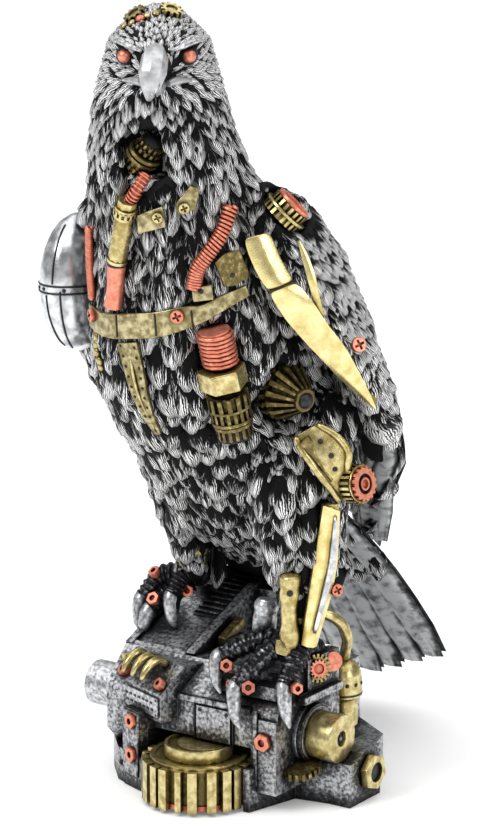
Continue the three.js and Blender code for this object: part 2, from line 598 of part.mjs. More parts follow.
// Chest fittings
const shoulderRoute = laid([[-19, 192.6], [-32.7, 185.7], [-45, 179.8], [-53, 174.3], [-55, 170.4]], 2.5);
piece("shoulder_hose", hose(shoulderRoute, 2, 7), COPPER);
piece(
  "shoulder_hose_fitting",
  prism([[-3, -2.2], [3.2, -2.2], [3.2, 2.4], [-3, 2.2]], 2.6).applyMatrix4(bodyFrame(-52.6, 167.6, 0.6)),
  BRASS
);
piece("chest_plate", strap([[-42.5, 173, 8.2], [-36, 174.4, 10.8], [-27.5, 176.2, 8.4]], 1.2, 4), BRASS);
const beltRoute = [
  [-129, 156, 7.2], [-110, 154.8, 7.8], [-90.7, 156.2, 8], [-76, 157.5, 7.8],
  [-62.5, 159.9, 7], [-53, 161.4, 5.4], [-43, 164.3, 4.6], [-29, 167.6, 3.4],
];
piece("chest_belt", strap(beltRoute, 1.4, 16), BRASS);
const keelRoute = [[-94, 151, 8], [-91.6, 143, 7.4], [-90, 133.7, 6], [-87.6, 121.7, 2.4]];
piece("keel_blade", strap(keelRoute, 1.6, 6), BRASS);

// Belly plug and hip gear
const plugRadii = [6.6, 7, 5.6, 6.2, 4.6];
piece("plug_coil", hose([156, 150, 145.4].map(plugPoint), 5.6, 3), COPPER);
piece("plug_nut", rod([144.7, 138.2].map(plugPoint), [7.4, 7.4], { sides: 6, steps: 1 }), BRASS);
piece("plug_body", rod([137, 130, 121.5].map(plugPoint), plugRadii, { sides: 12, steps: 4 }), BRASS);
const bevelTeeth = join([pinion(BEVEL.radius, 5.2, 12, 1.4, -4, 3.5), drum(3, -BEVEL.bowl + 2.2, -3, 8)]);
piece("hip_bevel_gear", geometryOf(bevelTeeth).applyMatrix4(bevelFrame), BRASS);
piece("hip_gear_hub", cone(2.8, 2.4, 3.5 + GAP, 5, 10).applyMatrix4(bevelFrame), BLACK);

// Wing fittings
piece("right_wing_armour", armour(), STEEL);
const bladeSolid = cut(solid(boneBlade()), [boneSpur(GAP), boneTop(GAP)]);
piece("wing_bone_blade", geometryOf(bladeSolid), BRASS);
piece("wing_bone_cup", boneTop(), BRASS);
piece("wing_bone_spur", boneSpur(), BRASS);
const { radius: wheel } = SHOULDER_GEAR;
piece("shoulder_gear", pinion(wheel, wheel, 12, 1.4, -4, 2.2).applyMatrix4(shoulderFrame), BRASS);
piece("shoulder_gear_cap", cone(5.2, 4, 2.2 + GAP, 4.6, 12).applyMatrix4(shoulderFrame), COPPER);

// Left leg fittings
const linkSolid = cut(solid(linkBar()), [
  kneeSocket(),
  ellipsoid([0, 0, 0], Array(3).fill(BEVEL.radius + 1.2), 12, 8).applyMatrix4(bevelFrame),
]);
piece("thigh_link", geometryOf(linkSolid), BRASS);
piece("knee_gear_ring", drum(KNEE.radius, -KNEE.sunk, 1.6, 12).applyMatrix4(kneeFrame), BRASS);
piece("knee_gear", pinion(5, 5, 12, 1, 1.6 + GAP, 3.6).applyMatrix4(kneeFrame), COPPER);
const footClear = plinthForms(GAP);
piece("shank_rod", geometryOf(cut(solid(shankRod()), [kneeSocket(), linkBar(GAP), ...footClear])), BRASS);
piece("shank_piston", geometryOf(cut(solid(pistonRod()), [shankRod(GAP), ...footClear])), BRASS);
piece("shank_cylinder", geometryOf(cut(solid(cylinderRod()), footClear)), STEEL);

// Plinth fittings
const spurFrame = new THREE.Matrix4().setPosition(SPUR_GEAR.x, SPUR_GEAR.y, SPUR_GEAR.z);
const spurWheel = join([
  spurTeeth(SPUR_GEAR.radius, SPUR_GEAR.teeth, 1.8, 0, SPUR_GEAR.tall),
  drum(SPUR_GEAR.hub, SPUR_GEAR.tall - 1, SPUR_GEAR.tall + SPUR_GEAR.hubTall, 14),
]);
piece("spur_gear", geometryOf(spurWheel).applyMatrix4(spurFrame), BRASS);
const capProfile = [
  [0, 0],
  [END_CAP.radius, 0],
  [END_CAP.radius, END_CAP.long - END_CAP.edge],
  [END_CAP.radius - END_CAP.edge, END_CAP.long],
  [END_CAP.bore, END_CAP.long],
  [END_CAP.bore, END_CAP.boreFloor],
  [0, END_CAP.boreFloor],
];
piece("engine_end_cap", onAxis(END_AXIS, lathe(capProfile, 12).translate(0, 0, END_CAP.from)), BRASS);
const nutProfile = [[0, 0], [5.4, 0], [5.4, 2.6], [3, 2.6], [3, 1], [0, 1]];
const nutX = RIGHT_BLOCK.max[0] + GAP;
const nut = lathe(nutProfile, 6).rotateY(Math.PI / 2).translate(nutX, FOOTING_NUT.y, FOOTING_NUT.z);
piece("footing_nut", nut, BRASS);
const tankProfile = [
  [0, 0], [TANK.stem, 0], [TANK.stem, 8.6], [TANK.radius, 9.4],
  [TANK.radius, 15], [5.3, 18.4], [3.2, 20.8], [0, 21.8],
];
piece("tank", lathe(tankProfile, 12).translate(TANK.x, TANK.y, TANK.from), BRASS);
const gearboxPoint = (x, y, z) =>
  vec(x, y, z).applyAxisAngle(UP, rad(GEARBOX.turn)).add(vec(GEARBOX.x, GEARBOX.y, 0)).toArray();
const HOOK_PITCH = 5.4;
for (const k of [0, 1, 2]) {
  const x = HOOK_PITCH * (k - 1);
  const claw = [[x, 7.5, 40], [x, 5, 42.4], [x, 1, 41], [x, -2, 36.5]].map((p) => gearboxPoint(...p));
  const hook = rod(claw, [1.5, 1.8, 1.8, 0.8], { sides: 6, steps: 4 });
  piece(`gearbox_hook_${k + 1}`, geometryOf(cut(solid(hook), plinthForms(GAP))), BRASS);
}

// The origin is on the floor under the middle of the figurine
const extent = new THREE.Box3().setFromObject(figurine);
const middle = extent.getCenter(vec());
figurine.position.set(-middle.x, -middle.y, -extent.min.z);

export default figurine;
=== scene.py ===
# %% [markdown]
# Steampunk eagle figurine. The real thing is a painted resin eagle on an engine-shaped plinth, with brass
# and copper clockwork let into its plumage. The solids from CAD give every main form its place. This
# lesson lays the single feathers over them, models the small clockwork, and paints it all with procedural
# materials.

# %% Load the frame
import json
import math
import random

import bpy
import numpy as np
from mathutils import Matrix, Vector
from mathutils.bvhtree import BVHTree
from mathutils.kdtree import KDTree


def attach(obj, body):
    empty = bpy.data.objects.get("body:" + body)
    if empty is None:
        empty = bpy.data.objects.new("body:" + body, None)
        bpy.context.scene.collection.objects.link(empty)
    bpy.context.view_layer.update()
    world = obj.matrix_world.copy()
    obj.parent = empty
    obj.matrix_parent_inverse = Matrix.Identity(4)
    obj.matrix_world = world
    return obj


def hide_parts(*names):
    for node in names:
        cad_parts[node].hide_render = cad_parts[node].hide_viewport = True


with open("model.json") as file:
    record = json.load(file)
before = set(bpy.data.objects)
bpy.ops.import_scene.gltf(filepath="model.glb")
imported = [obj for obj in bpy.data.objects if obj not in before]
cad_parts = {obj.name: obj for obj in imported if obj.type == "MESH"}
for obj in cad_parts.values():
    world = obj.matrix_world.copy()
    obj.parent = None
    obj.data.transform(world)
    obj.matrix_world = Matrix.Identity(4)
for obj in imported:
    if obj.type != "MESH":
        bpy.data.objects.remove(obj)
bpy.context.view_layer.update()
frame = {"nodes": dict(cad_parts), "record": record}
nodes = frame["nodes"]
MM = 0.001
ORIGIN = Vector((-0.16, -13.84, 0.0))
chance = random.Random(7)
print("frame", len(nodes), "nodes")


def bird(x, y, z):
    """A point in the bird's own millimetres, with the torso at x = 0, as a point of the frame in metres."""
    return (Vector((x, y, z)) + ORIGIN) * MM


# %% [markdown]
# The camera comes first. The photograph looks at the bird from its front left, a little from above,
# through a long lens. The numbers come from fitting a camera to the plinth's and the bird's proportions.

# %% Camera
CAMERA_TURN = math.radians(34)
CAMERA_PITCH = math.radians(13)
CAMERA_LENS = 140.3
camera_data = bpy.data.cameras.new("camera")
camera_data.sensor_fit = "VERTICAL"
camera_data.sensor_height = 36
camera_data.lens = CAMERA_LENS
camera = bpy.data.objects.new("camera", camera_data)
camera.location = bird(565.7, -824.6, 350)
camera.rotation_euler = (math.pi / 2 - CAMERA_PITCH, 0, CAMERA_TURN)
bpy.context.collection.objects.link(camera)
bpy.context.scene.camera = camera
print("camera at", [round(v, 3) for v in camera.location])

# %% [markdown]
# A white floor, a very soft sun and two large lamps make the even light of a product photograph. The sun
# lights the whole floor alike, so it stays white to the edges of the picture. A faint glow of its own
# keeps the floor from turning grey round the shadow.

# %% Floor
bpy.ops.object.select_all(action="DESELECT")
bpy.ops.mesh.primitive_plane_add(size=8, location=(0, 0, -0.0002))
sweep = bpy.context.object
sweep.name = "sweep"
white = bpy.data.materials.new("white_sweep")
white.use_nodes = True
sweep_paint = white.node_tree.nodes["Principled BSDF"].inputs
sweep_paint["Base Color"].default_value = (0.93, 0.93, 0.93, 1)
sweep_paint["Roughness"].default_value = 0.7
sweep_paint["Emission Color"].default_value = (1, 1, 1, 1)
sweep_paint["Emission Strength"].default_value = 0.14
sweep.data.materials.append(white)
print("floor", sweep.name)


# %% [markdown]
# The lamps are large squares of light, because a large lamp makes soft edges on its shadows. The helper
# turns a lamp to face the bird's middle. The sky has two strengths: one that the camera sees, which is
# white, and a dimmer one that lights the bird.

# %% Lamps and sky
def soft_light(name, place, size, power, target=(0, 0, 0.13)):
    light = bpy.data.lights.new(name, "AREA")
    light.size = size
    light.energy = power
    lamp = bpy.data.objects.new(name, light)
    lamp.location = place
    lamp.rotation_euler = (Vector(target) - Vector(place)).to_track_quat("-Z", "Y").to_euler()
    bpy.context.collection.objects.link(lamp)


soft_light("key_light", (-0.35, -0.9, 0.9), 0.5, 6)
soft_light("fill_light", (1.15, -0.3, 0.5), 0.6, 3)
overhead = bpy.data.lights.new("overhead_light", "SUN")
overhead.energy = 2.1
overhead.angle = math.radians(100)
bpy.context.collection.objects.link(bpy.data.objects.new("overhead_light", overhead))
world = bpy.data.worlds.new("studio")
bpy.context.scene.world = world
world.use_nodes = True
sky = world.node_tree
room = sky.nodes["Background"]
room.inputs["Color"].default_value = (1, 1, 1, 1)
room.inputs["Strength"].default_value = 0.42
backdrop = sky.nodes.new("ShaderNodeBackground")
backdrop.inputs["Color"].default_value = (1, 1, 1, 1)
seen = sky.nodes.new("ShaderNodeLightPath")
either = sky.nodes.new("ShaderNodeMixShader")
sky.links.new(seen.outputs["Is Camera Ray"], either.inputs["Fac"])
sky.links.new(room.outputs["Background"], either.inputs[1])
sky.links.new(backdrop.outputs["Background"], either.inputs[2])
sky.links.new(either.outputs["Shader"], sky.nodes["World Output"].inputs["Surface"])
bpy.context.scene.view_settings.view_transform = "Standard"
print("studio lit")


# %% [markdown]
# Materials are built from a few small helpers: one adds a node, one does arithmetic, one maps a value to
# 0..1 and one mixes two colours. Each returns the socket that the next step needs.

# %% Node helpers
def add_node(tree, kind, **settings):
    node = tree.nodes.new(kind)
    for key, value in settings.items():
        setattr(node, key, value)
    return node


def feed(tree, socket, value):
    if isinstance(value, bpy.types.NodeSocket):
        tree.links.new(value, socket)
    else:
        socket.default_value = value


def calc(tree, operation, a, b=0.0):
    node = add_node(tree, "ShaderNodeMath", operation=operation)
    feed(tree, node.inputs[0], a)
    feed(tree, node.inputs[1], b)
    return node.outputs[0]


def step_up(tree, value, low, high):
    node = add_node(tree, "ShaderNodeMapRange", interpolation_type="SMOOTHSTEP")
    feed(tree, node.inputs["Value"], value)
    feed(tree, node.inputs["From Min"], low)
    feed(tree, node.inputs["From Max"], high)
    return node.outputs["Result"]


def mix_colour(tree, factor, a, b):
    node = add_node(tree, "ShaderNodeMix", data_type="RGBA")
    feed(tree, node.inputs["Factor"], factor)
    feed(tree, node.inputs["A"], a)
    feed(tree, node.inputs["B"], b)
    return node.outputs["Result"]


def noise(tree, scale, detail=3.0, roughness=0.55):
    place = add_node(tree, "ShaderNodeTexCoord")
    node = add_node(tree, "ShaderNodeTexNoise")
    tree.links.new(place.outputs["Object"], node.inputs["Vector"])
    feed(tree, node.inputs["Scale"], scale)
    feed(tree, node.inputs["Detail"], detail)
    feed(tree, node.inputs["Roughness"], roughness)
    return node.outputs["Fac"]


print("node helpers ready")

# %% [markdown]
# The paint on such a figurine is a metallic coat with a black wash that stays in every recess, and a dry
# brush of bright metal over the raised edges. One node group makes that for all the metals: Recess is
# dark in the corners, partly as that wash and partly as painted shade read from ambient occlusion, Wear
# is bright on open, raised places, and Grain is the fine tooth of a casting.

# %% Aged paint group with painted shade
def new_group(name, inputs, outputs):
    group = bpy.data.node_groups.new(name, "ShaderNodeTree")
    for label, value in inputs.items():
        socket = group.interface.new_socket(label, in_out="INPUT", socket_type="NodeSocketFloat")
        socket.default_value = value
    for label in outputs:
        group.interface.new_socket(label, in_out="OUTPUT", socket_type="NodeSocketFloat")
    return group, group.nodes.new("NodeGroupInput"), group.nodes.new("NodeGroupOutput")


aged_and_shaded, aged_in, aged_out = new_group(
    "aged_paint_and_shade",
    {"Reach": 0.004, "Mottle Scale": 700.0, "Blotch": 0.9, "Wear From": 0.8},
    ["Recess", "Wear", "Grain"],
)
# Ambient occlusion finds where little light reaches; the dark it gives the colour is painted shade.
corners = add_node(aged_and_shaded, "ShaderNodeAmbientOcclusion", samples=8)
feed(aged_and_shaded, corners.inputs["Distance"], aged_in.outputs["Reach"])
mottle = noise(aged_and_shaded, aged_in.outputs["Mottle Scale"], 4.0)
fine = noise(aged_and_shaded, 2600.0, 2.0)
blotch = calc(aged_and_shaded, "MULTIPLY", calc(aged_and_shaded, "SUBTRACT", mottle, 0.5), aged_in.outputs["Blotch"])
open_share = calc(aged_and_shaded, "ADD", corners.outputs["AO"], blotch)
wear_to = calc(aged_and_shaded, "ADD", aged_in.outputs["Wear From"], 0.35)
# Recess: the black wash of the hollows together with painted shade from the occlusion.
feed(aged_and_shaded, aged_out.inputs["Recess"], calc(aged_and_shaded, "SUBTRACT", 1.0, step_up(aged_and_shaded, open_share, 0.35, 0.85)))
feed(aged_and_shaded, aged_out.inputs["Wear"], step_up(aged_and_shaded, open_share, aged_in.outputs["Wear From"], wear_to))
grain = calc(aged_and_shaded, "ADD", calc(aged_and_shaded, "MULTIPLY", mottle, 0.6), calc(aged_and_shaded, "MULTIPLY", fine, 0.4))
feed(aged_and_shaded, aged_out.inputs["Grain"], grain)
print("group", aged_and_shaded.name)


# %% [markdown]
# A metal paint puts that group to use. It mixes three colours: the dark of the recesses, black wash and
# painted shade, where Recess says so, the coat itself, and the bright dry brush where Wear says so.
# Recesses are also rougher, and the grain feeds a bump. Each paint may set its own reach, wear and mottle.

# %% Metal paint
def painted(name, dark, coat, bright, **look):
    """A metal paint: black wash and painted shade in the recesses, the coat itself, and a brighter dry brush
    on top.
    """
    material = bpy.data.materials.new(name)
    material.use_nodes = True
    tree = material.node_tree
    shader = tree.nodes["Principled BSDF"]
    paint = add_node(tree, "ShaderNodeGroup", node_tree=aged_and_shaded)
    paint.inputs["Reach"].default_value = look.get("reach", 0.003)
    paint.inputs["Mottle Scale"].default_value = look.get("mottle", 700.0)
    paint.inputs["Blotch"].default_value = look.get("blotch", 0.5)
    paint.inputs["Wear From"].default_value = look.get("wear", 0.8)
    lifted = mix_colour(tree, paint.outputs["Wear"], (*coat, 1), (*bright, 1))
    # The dark colour goes where Recess says: black wash and painted shade.
    feed(tree, shader.inputs["Base Color"], mix_colour(tree, paint.outputs["Recess"], lifted, (*dark, 1)))
    smooth, dull = look.get("rough", (0.34, 0.6))
    span = add_node(tree, "ShaderNodeMapRange")
    feed(tree, span.inputs["Value"], paint.outputs["Recess"])
    feed(tree, span.inputs["To Min"], smooth)
    feed(tree, span.inputs["To Max"], dull)
    feed(tree, shader.inputs["Roughness"], span.outputs["Result"])
    shader.inputs["Metallic"].default_value = look.get("metal", 0.85)
    shader.inputs["Specular IOR Level"].default_value = look.get("gloss", 0.25)
    relief = add_node(tree, "ShaderNodeBump")
    relief.inputs["Strength"].default_value = look.get("bump", 0.12)
    relief.inputs["Distance"].default_value = 0.0006
    feed(tree, relief.inputs["Height"], paint.outputs["Grain"])
    feed(tree, shader.inputs["Normal"], relief.outputs["Normal"])
    return material


print("metal paint ready")

# %% [markdown]
# Now the paints of this figurine. There are six silvers and greys, from the black toes to the bright
# armour, four tones of brass, one rose copper and a black for holes and gaps, which in gaps and bores is
# painted shade. The numbers are linear colours, chosen by comparing small patches of the render with the
# real finish.

# %% Paints of the figurine
# Dark colours of the recesses: where the paints use them, they are black wash and painted shade.
BLACK = (0.008, 0.008, 0.009)
UMBER = (0.02, 0.014, 0.006)
WASH_AND_SHADE_BLACK = (0.004, 0.004, 0.004)
aged_silver = painted(
    "aged_silver", BLACK, (0.05, 0.051, 0.054), (0.54, 0.55, 0.57),
    wear=0.8, reach=0.006, blotch=1.05, bump=0.25, mottle=850,
)
edge_silver = painted(
    "edge_silver", BLACK, (0.24, 0.245, 0.255), (0.68, 0.69, 0.71), wear=0.8, blotch=1.1, mottle=900
)
toe_silver = painted(
    "toe_silver", WASH_AND_SHADE_BLACK, (0.014, 0.014, 0.016), (0.37, 0.38, 0.4), wear=0.94, reach=0.0016, blotch=1.0
)
bright_silver = painted(
    "bright_silver", BLACK, (0.36, 0.37, 0.39), (0.8, 0.82, 0.84), rough=(0.2, 0.45), blotch=0.9, mottle=300
)
beak_silver = painted(
    "beak_silver", (0.05, 0.05, 0.052), (0.24, 0.245, 0.25), (0.66, 0.67, 0.68), metal=0.6, mottle=300
)
antique_brass = painted(
    "antique_brass", UMBER, (0.36, 0.28, 0.095), (0.74, 0.64, 0.33),
    rough=(0.24, 0.55), blotch=0.85, mottle=420, wear=0.82, reach=0.0025,
)
bone_brass = painted(
    "bone_brass", UMBER, (0.58, 0.455, 0.15), (0.92, 0.81, 0.42), rough=(0.2, 0.5), blotch=0.6, mottle=260
)
dark_brass = painted(
    "dark_brass", UMBER, (0.13, 0.1, 0.035), (0.56, 0.46, 0.2), wear=0.95, reach=0.002, blotch=0.9
)
copper_rose = painted(
    "copper_rose", (0.05, 0.01, 0.007), (0.56, 0.14, 0.08), (0.84, 0.35, 0.24), reach=0.002, metal=0.7
)
strap_brass = painted(
    "strap_brass", UMBER, (0.175, 0.142, 0.058), (0.56, 0.49, 0.28),
    rough=(0.26, 0.55), blotch=1.0, mottle=420, wear=0.85, reach=0.0025,
)
quill_grey = painted(
    "quill_grey", WASH_AND_SHADE_BLACK, (0.12, 0.122, 0.126), (0.5, 0.51, 0.52),
    wear=0.72, reach=0.003, blotch=1.2, mottle=230, metal=0.3, rough=(0.4, 0.7), bump=0.3,
)
black_recess = painted("black_recess", WASH_AND_SHADE_BLACK, (0.012, 0.012, 0.013), (0.05, 0.05, 0.055), metal=0.4)
PAINTS = {
    "aged_silver": aged_silver,
    "edge_silver": edge_silver,
    "toe_silver": toe_silver,
    "bone_brass": bone_brass,
    "dark_brass": dark_brass,
    "strap_brass": strap_brass,
    "quill_grey": quill_grey,
    "bright_silver": bright_silver,
    "beak_silver": beak_silver,
    "antique_brass": antique_brass,
    "copper_rose": copper_rose,
    "black_recess": black_recess,
}
print("paints", ", ".join(PAINTS))

# %% [markdown]
# Feathers have a finish of their own. On the casting each one is cut with a shaft line and with barbs
# that fan out from it towards the tip. The cuts stay black, and a dry brush leaves silver streaks on the
# tip and the edges; the root end stays black as painted shade under the feather that overlaps it. The
# pattern follows the feather, so it reads the UV map: U runs across the feather and V from root to tip.
# The attribute tone differs from feather to feather.

# %% Plumage paint
BARE_FEATHER = (0.0045, 0.0045, 0.005, 1)


def plumage_paint(name, barbs, fan, cover_from, tip_share, bright=0.97):
    """Feather paint: barbs on the half width, their fan, where the silver begins and the tip's share."""
    material = bpy.data.materials.new(name)
    material.use_nodes = True
    tree = material.node_tree
    shader = tree.nodes["Principled BSDF"]
    shader.inputs["Specular IOR Level"].default_value = 0.07
    uv = add_node(tree, "ShaderNodeUVMap", uv_map="feather")
    parts = add_node(tree, "ShaderNodeSeparateXYZ")
    tree.links.new(uv.outputs["UV"], parts.inputs["Vector"])
    across = calc(tree, "MULTIPLY", calc(tree, "SUBTRACT", parts.outputs["X"], 0.5), 2.0)
    side = calc(tree, "ABSOLUTE", across)
    along = parts.outputs["Y"]
    tone = add_node(tree, "ShaderNodeAttribute", attribute_name="tone").outputs["Fac"]
    wobble = noise(tree, 700.0, 2.0)
    fanned = calc(tree, "SUBTRACT", calc(tree, "MULTIPLY", side, barbs), calc(tree, "MULTIPLY", along, fan))
    phase = calc(tree, "ADD", fanned, calc(tree, "MULTIPLY", wobble, 9.0))
    barb = step_up(tree, calc(tree, "SINE", phase), -0.6, 0.6)
    own_place = add_node(tree, "ShaderNodeCombineXYZ")
    feed(tree, own_place.inputs["X"], calc(tree, "MULTIPLY", across, 2.4))
    feed(tree, own_place.inputs["Y"], calc(tree, "MULTIPLY", along, 1.3))
    feed(tree, own_place.inputs["Z"], calc(tree, "MULTIPLY", tone, 30.0))
    brush = add_node(tree, "ShaderNodeTexNoise")
    tree.links.new(own_place.outputs["Vector"], brush.inputs["Vector"])
    brush.inputs["Scale"].default_value = 1.6
    brush.inputs["Detail"].default_value = 5.0
    streak = calc(tree, "SUBTRACT", brush.outputs["Fac"], 0.5)
    shaft = calc(tree, "SUBTRACT", 1.0, step_up(tree, side, 0.03, 0.12))
    # Silver grows towards the tip: dry brush there, and a black root that is painted shade under the feather
    # above.
    tip = calc(tree, "MULTIPLY", step_up(tree, along, 0.2, 0.95), tip_share)
    rim = calc(tree, "MULTIPLY", step_up(tree, side, 0.65, 1.0), 0.22)
    ridges = calc(tree, "MAXIMUM", barb, calc(tree, "MULTIPLY", shaft, 0.8))
    brushed = calc(tree, "ADD", calc(tree, "ADD", tip, rim), calc(tree, "MULTIPLY", ridges, 0.45))
    brushed = calc(tree, "ADD", brushed, calc(tree, "MULTIPLY", streak, 2.0))
    brushed = calc(tree, "ADD", brushed, calc(tree, "MULTIPLY", calc(tree, "SUBTRACT", tone, 0.5), 0.35))
    cover = step_up(tree, brushed, cover_from, calc(tree, "ADD", cover_from, 0.5))
    cover = calc(tree, "MULTIPLY", cover, calc(tree, "ADD", calc(tree, "MULTIPLY", ridges, 0.8), 0.2))
    silver = (bright, bright, bright, 1)
    feed(tree, shader.inputs["Base Color"], mix_colour(tree, cover, BARE_FEATHER, silver))
    feed(tree, shader.inputs["Metallic"], calc(tree, "MULTIPLY", cover, 0.5))
    feed(tree, shader.inputs["Roughness"], calc(tree, "SUBTRACT", 0.5, calc(tree, "MULTIPLY", cover, 0.14)))
    relief = add_node(tree, "ShaderNodeBump")
    relief.inputs["Strength"].default_value = 0.6
    relief.inputs["Distance"].default_value = 0.0004
    feed(tree, relief.inputs["Height"], ridges)
    feed(tree, shader.inputs["Normal"], relief.outputs["Normal"])
    return material


head_silver = plumage_paint("head_silver", 16.0, 6.0, 0.12, 0.8)
neck_silver = plumage_paint("neck_silver", 34.0, 15.0, 0.46, 0.7)
chest_silver = plumage_paint("chest_silver", 46.0, 24.0, 0.58, 0.5)
belly_silver = plumage_paint("belly_silver", 42.0, 18.0, 0.76, 0.85)
wing_silver = plumage_paint("wing_silver", 38.0, 16.0, 0.46, 0.8)
tail_silver = plumage_paint("tail_silver", 40.0, 14.0, 0.5, 0.6, 0.7)
bed_black = painted(
    "bed_black", WASH_AND_SHADE_BLACK, (0.006, 0.006, 0.007), (0.014, 0.014, 0.015), rough=(0.7, 0.8), metal=0.0, gloss=0.08
)
print("plumage paints ready")

# %% [markdown]
# A few helpers serve every piece. One selects a single object, because an operator acts on all that is
# selected. One adds a modifier and applies it. One copies a solid and welds its loose triangles. The last
# one paints and shades a finished piece, ties it to the body, and hides the solid that it stands for.

# %% Piece helpers
def only(obj):
    bpy.ops.object.select_all(action="DESELECT")
    obj.select_set(True)
    bpy.context.view_layer.objects.active = obj


def apply_modifier(obj, kind, **settings):
    only(obj)
    modifier = obj.modifiers.new(kind.lower(), kind)
    for key, value in settings.items():
        setattr(modifier, key, value)
    bpy.ops.object.modifier_apply(modifier=modifier.name)


def solid_copy(node, name):
    """A copy of a CAD node with its loose triangles merged into one skin."""
    obj = bpy.data.objects.new(name, nodes[node].data.copy())
    bpy.context.collection.objects.link(obj)
    obj.data.materials.clear()
    only(obj)
    bpy.ops.object.mode_set(mode="EDIT")
    bpy.ops.mesh.select_all(action="SELECT")
    bpy.ops.mesh.remove_doubles(threshold=0.01 * MM)
    bpy.ops.object.mode_set(mode="OBJECT")
    return obj


def shade(obj, angle):
    """Smooth shading with sharp edges kept, weighted so that flat faces stay flat next to their bevels."""
    only(obj)
    bpy.ops.object.shade_smooth_by_angle(angle=math.radians(angle))
    apply_modifier(obj, "WEIGHTED_NORMAL", keep_sharp=True)


def finish(obj, paint, replaced, angle=None):
    """Paint a piece, shade it, and tie it to the figurine's one body."""
    named = isinstance(paint, str)
    obj.data.materials.clear()
    obj.data.materials.append(PAINTS[paint] if named else paint)
    if angle is None:
        only(obj)
        bpy.ops.object.shade_smooth()
    else:
        shade(obj, angle)
    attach(obj, "root")
    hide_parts(*replaced)
    return obj


# %% [markdown]
# The plumage needs a smooth bed to lie on. The CAD eagle is a faceted casting with stepped feather rows.
# A copy of it, remeshed into small even faces and smoothed, keeps its form and its sockets and loses the
# steps. It is pushed in a little, so the feathers stand on it, and painted black, as the gaps between
# feathers are.

# %% Bed of the plumage
BED_VOXEL = 1.3 * MM
BED_SINK = 0.5 * MM
bed = solid_copy("eagle", "plumage_bed")
apply_modifier(bed, "REMESH", mode="VOXEL", voxel_size=BED_VOXEL)
apply_modifier(bed, "SMOOTH", factor=0.5, iterations=8)
apply_modifier(bed, "DISPLACE", strength=-BED_SINK, mid_level=0.0)
finish(bed, bed_black, ["eagle"])
bed_tree = BVHTree.FromObject(bed, bpy.context.evaluated_depsgraph_get())
print("bed", len(bed.data.polygons), "faces")

# %% [markdown]
# Feathers must not run over the fittings. All the brass, copper and steel solids go into one search tree,
# so a feather can ask how far the nearest fitting is. The three wing bones become broad plates later on.
# Each plate is given by its two edge lines, in the bird's millimetres, and stands in the tree for its
# solid.

# %% Where the fittings are
WING_PLATES = {
    "wing_bone_cup": (
        [(29.6, -33.6, 183.5), (31.2, -33.2, 178.8), (33.1, -32.5, 174.2), (35, -31.8, 170.7),
         (36.6, -30.7, 167.9)],
        [(35.4, -27.6, 185.3), (37, -27.1, 181.6), (38.7, -26.6, 177.3), (40.8, -25.7, 173.5),
         (42.3, -24.7, 170.7)],
    ),
    "wing_bone_blade": (
        [(36.9, -30.5, 167.3), (38.3, -28.4, 163.3), (39.4, -25.8, 159), (41.7, -22.4, 154.3),
         (44.1, -19, 149.5), (46.6, -15, 144.8), (49.3, -10.6, 139), (52.4, -6.2, 133.8), (56, -1.2, 128.6)],
        [(42.6, -24.9, 170.5), (45.2, -23.2, 167.4), (48, -21.2, 162.8), (50, -18.6, 157.3),
         (51.8, -15, 152.9), (53.1, -11.4, 148), (55.4, -8.7, 141.4), (56.2, -4.8, 135.6),
         (56.8, -0.9, 129)],
    ),
    "wing_bone_spur": (
        [(41.6, -22, 182.4), (42.8, -21.6, 177.4), (44.5, -21.5, 172.3), (45.4, -20.9, 167.9),
         (46.4, -20.2, 163.6), (47.2, -19.3, 160.4)],
        [(42.2, -21.4, 182.3), (44.3, -20.2, 178), (46.4, -19.8, 173), (47.3, -19.2, 167.8),
         (47.9, -18.7, 163.4), (48.9, -17.5, 159.5)],
    ),
}
fitting_points = []
fitting_faces = []
for label, node in nodes.items():
    if label not in ("eagle", "plinth", *WING_PLATES):
        start = len(fitting_points)
        fitting_points.extend(v.co.copy() for v in node.data.vertices)
        fitting_faces.extend([start + i for i in face.vertices] for face in node.data.polygons)
for left, right in WING_PLATES.values():
    start = len(fitting_points)
    rows = len(left)
    fitting_points.extend(bird(*place) for place in (*left, *right))
    for i in range(start, start + rows - 1):
        fitting_faces.append([i, i + 1, i + rows + 1, i + rows])
fitting_tree = BVHTree.FromPolygons(fitting_points, fitting_faces)


def clear_of_fittings(point, room):
    return fitting_tree.find_nearest(point, room)[0] is None


print("fittings", len(fitting_faces), "faces")

# %% [markdown]
# By hand a row or a column of points is picked with the mouse. In code it is picked by place: the script
# leaves edit mode, marks the points or edges that pass a test, and goes back in. A feather is a grid of
# so many faces across and along.

# %% Selecting in edit mode
ACROSS = 4
ALONG = 6


def on_column(co, share, widths):
    row = round((co.y + 1) * ALONG / 2)
    return abs(abs(co.x) - share * widths[row]) < 0.02


def select_where(mesh, test):
    """Select the vertices whose place passes the test, from inside edit mode."""
    bpy.ops.mesh.select_all(action="DESELECT")
    bpy.ops.object.mode_set(mode="OBJECT")
    for vertex in mesh.vertices:
        vertex.select = bool(test(vertex.co))
    bpy.ops.object.mode_set(mode="EDIT")


def unselect_edges(mesh, test):
    bpy.ops.object.mode_set(mode="OBJECT")
    for edge in mesh.edges:
        a, b = (mesh.vertices[i].co for i in edge.vertices)
        if test(a, b):
            edge.select = False
    bpy.ops.object.mode_set(mode="EDIT")


print("feather grid", ACROSS, "by", ALONG)
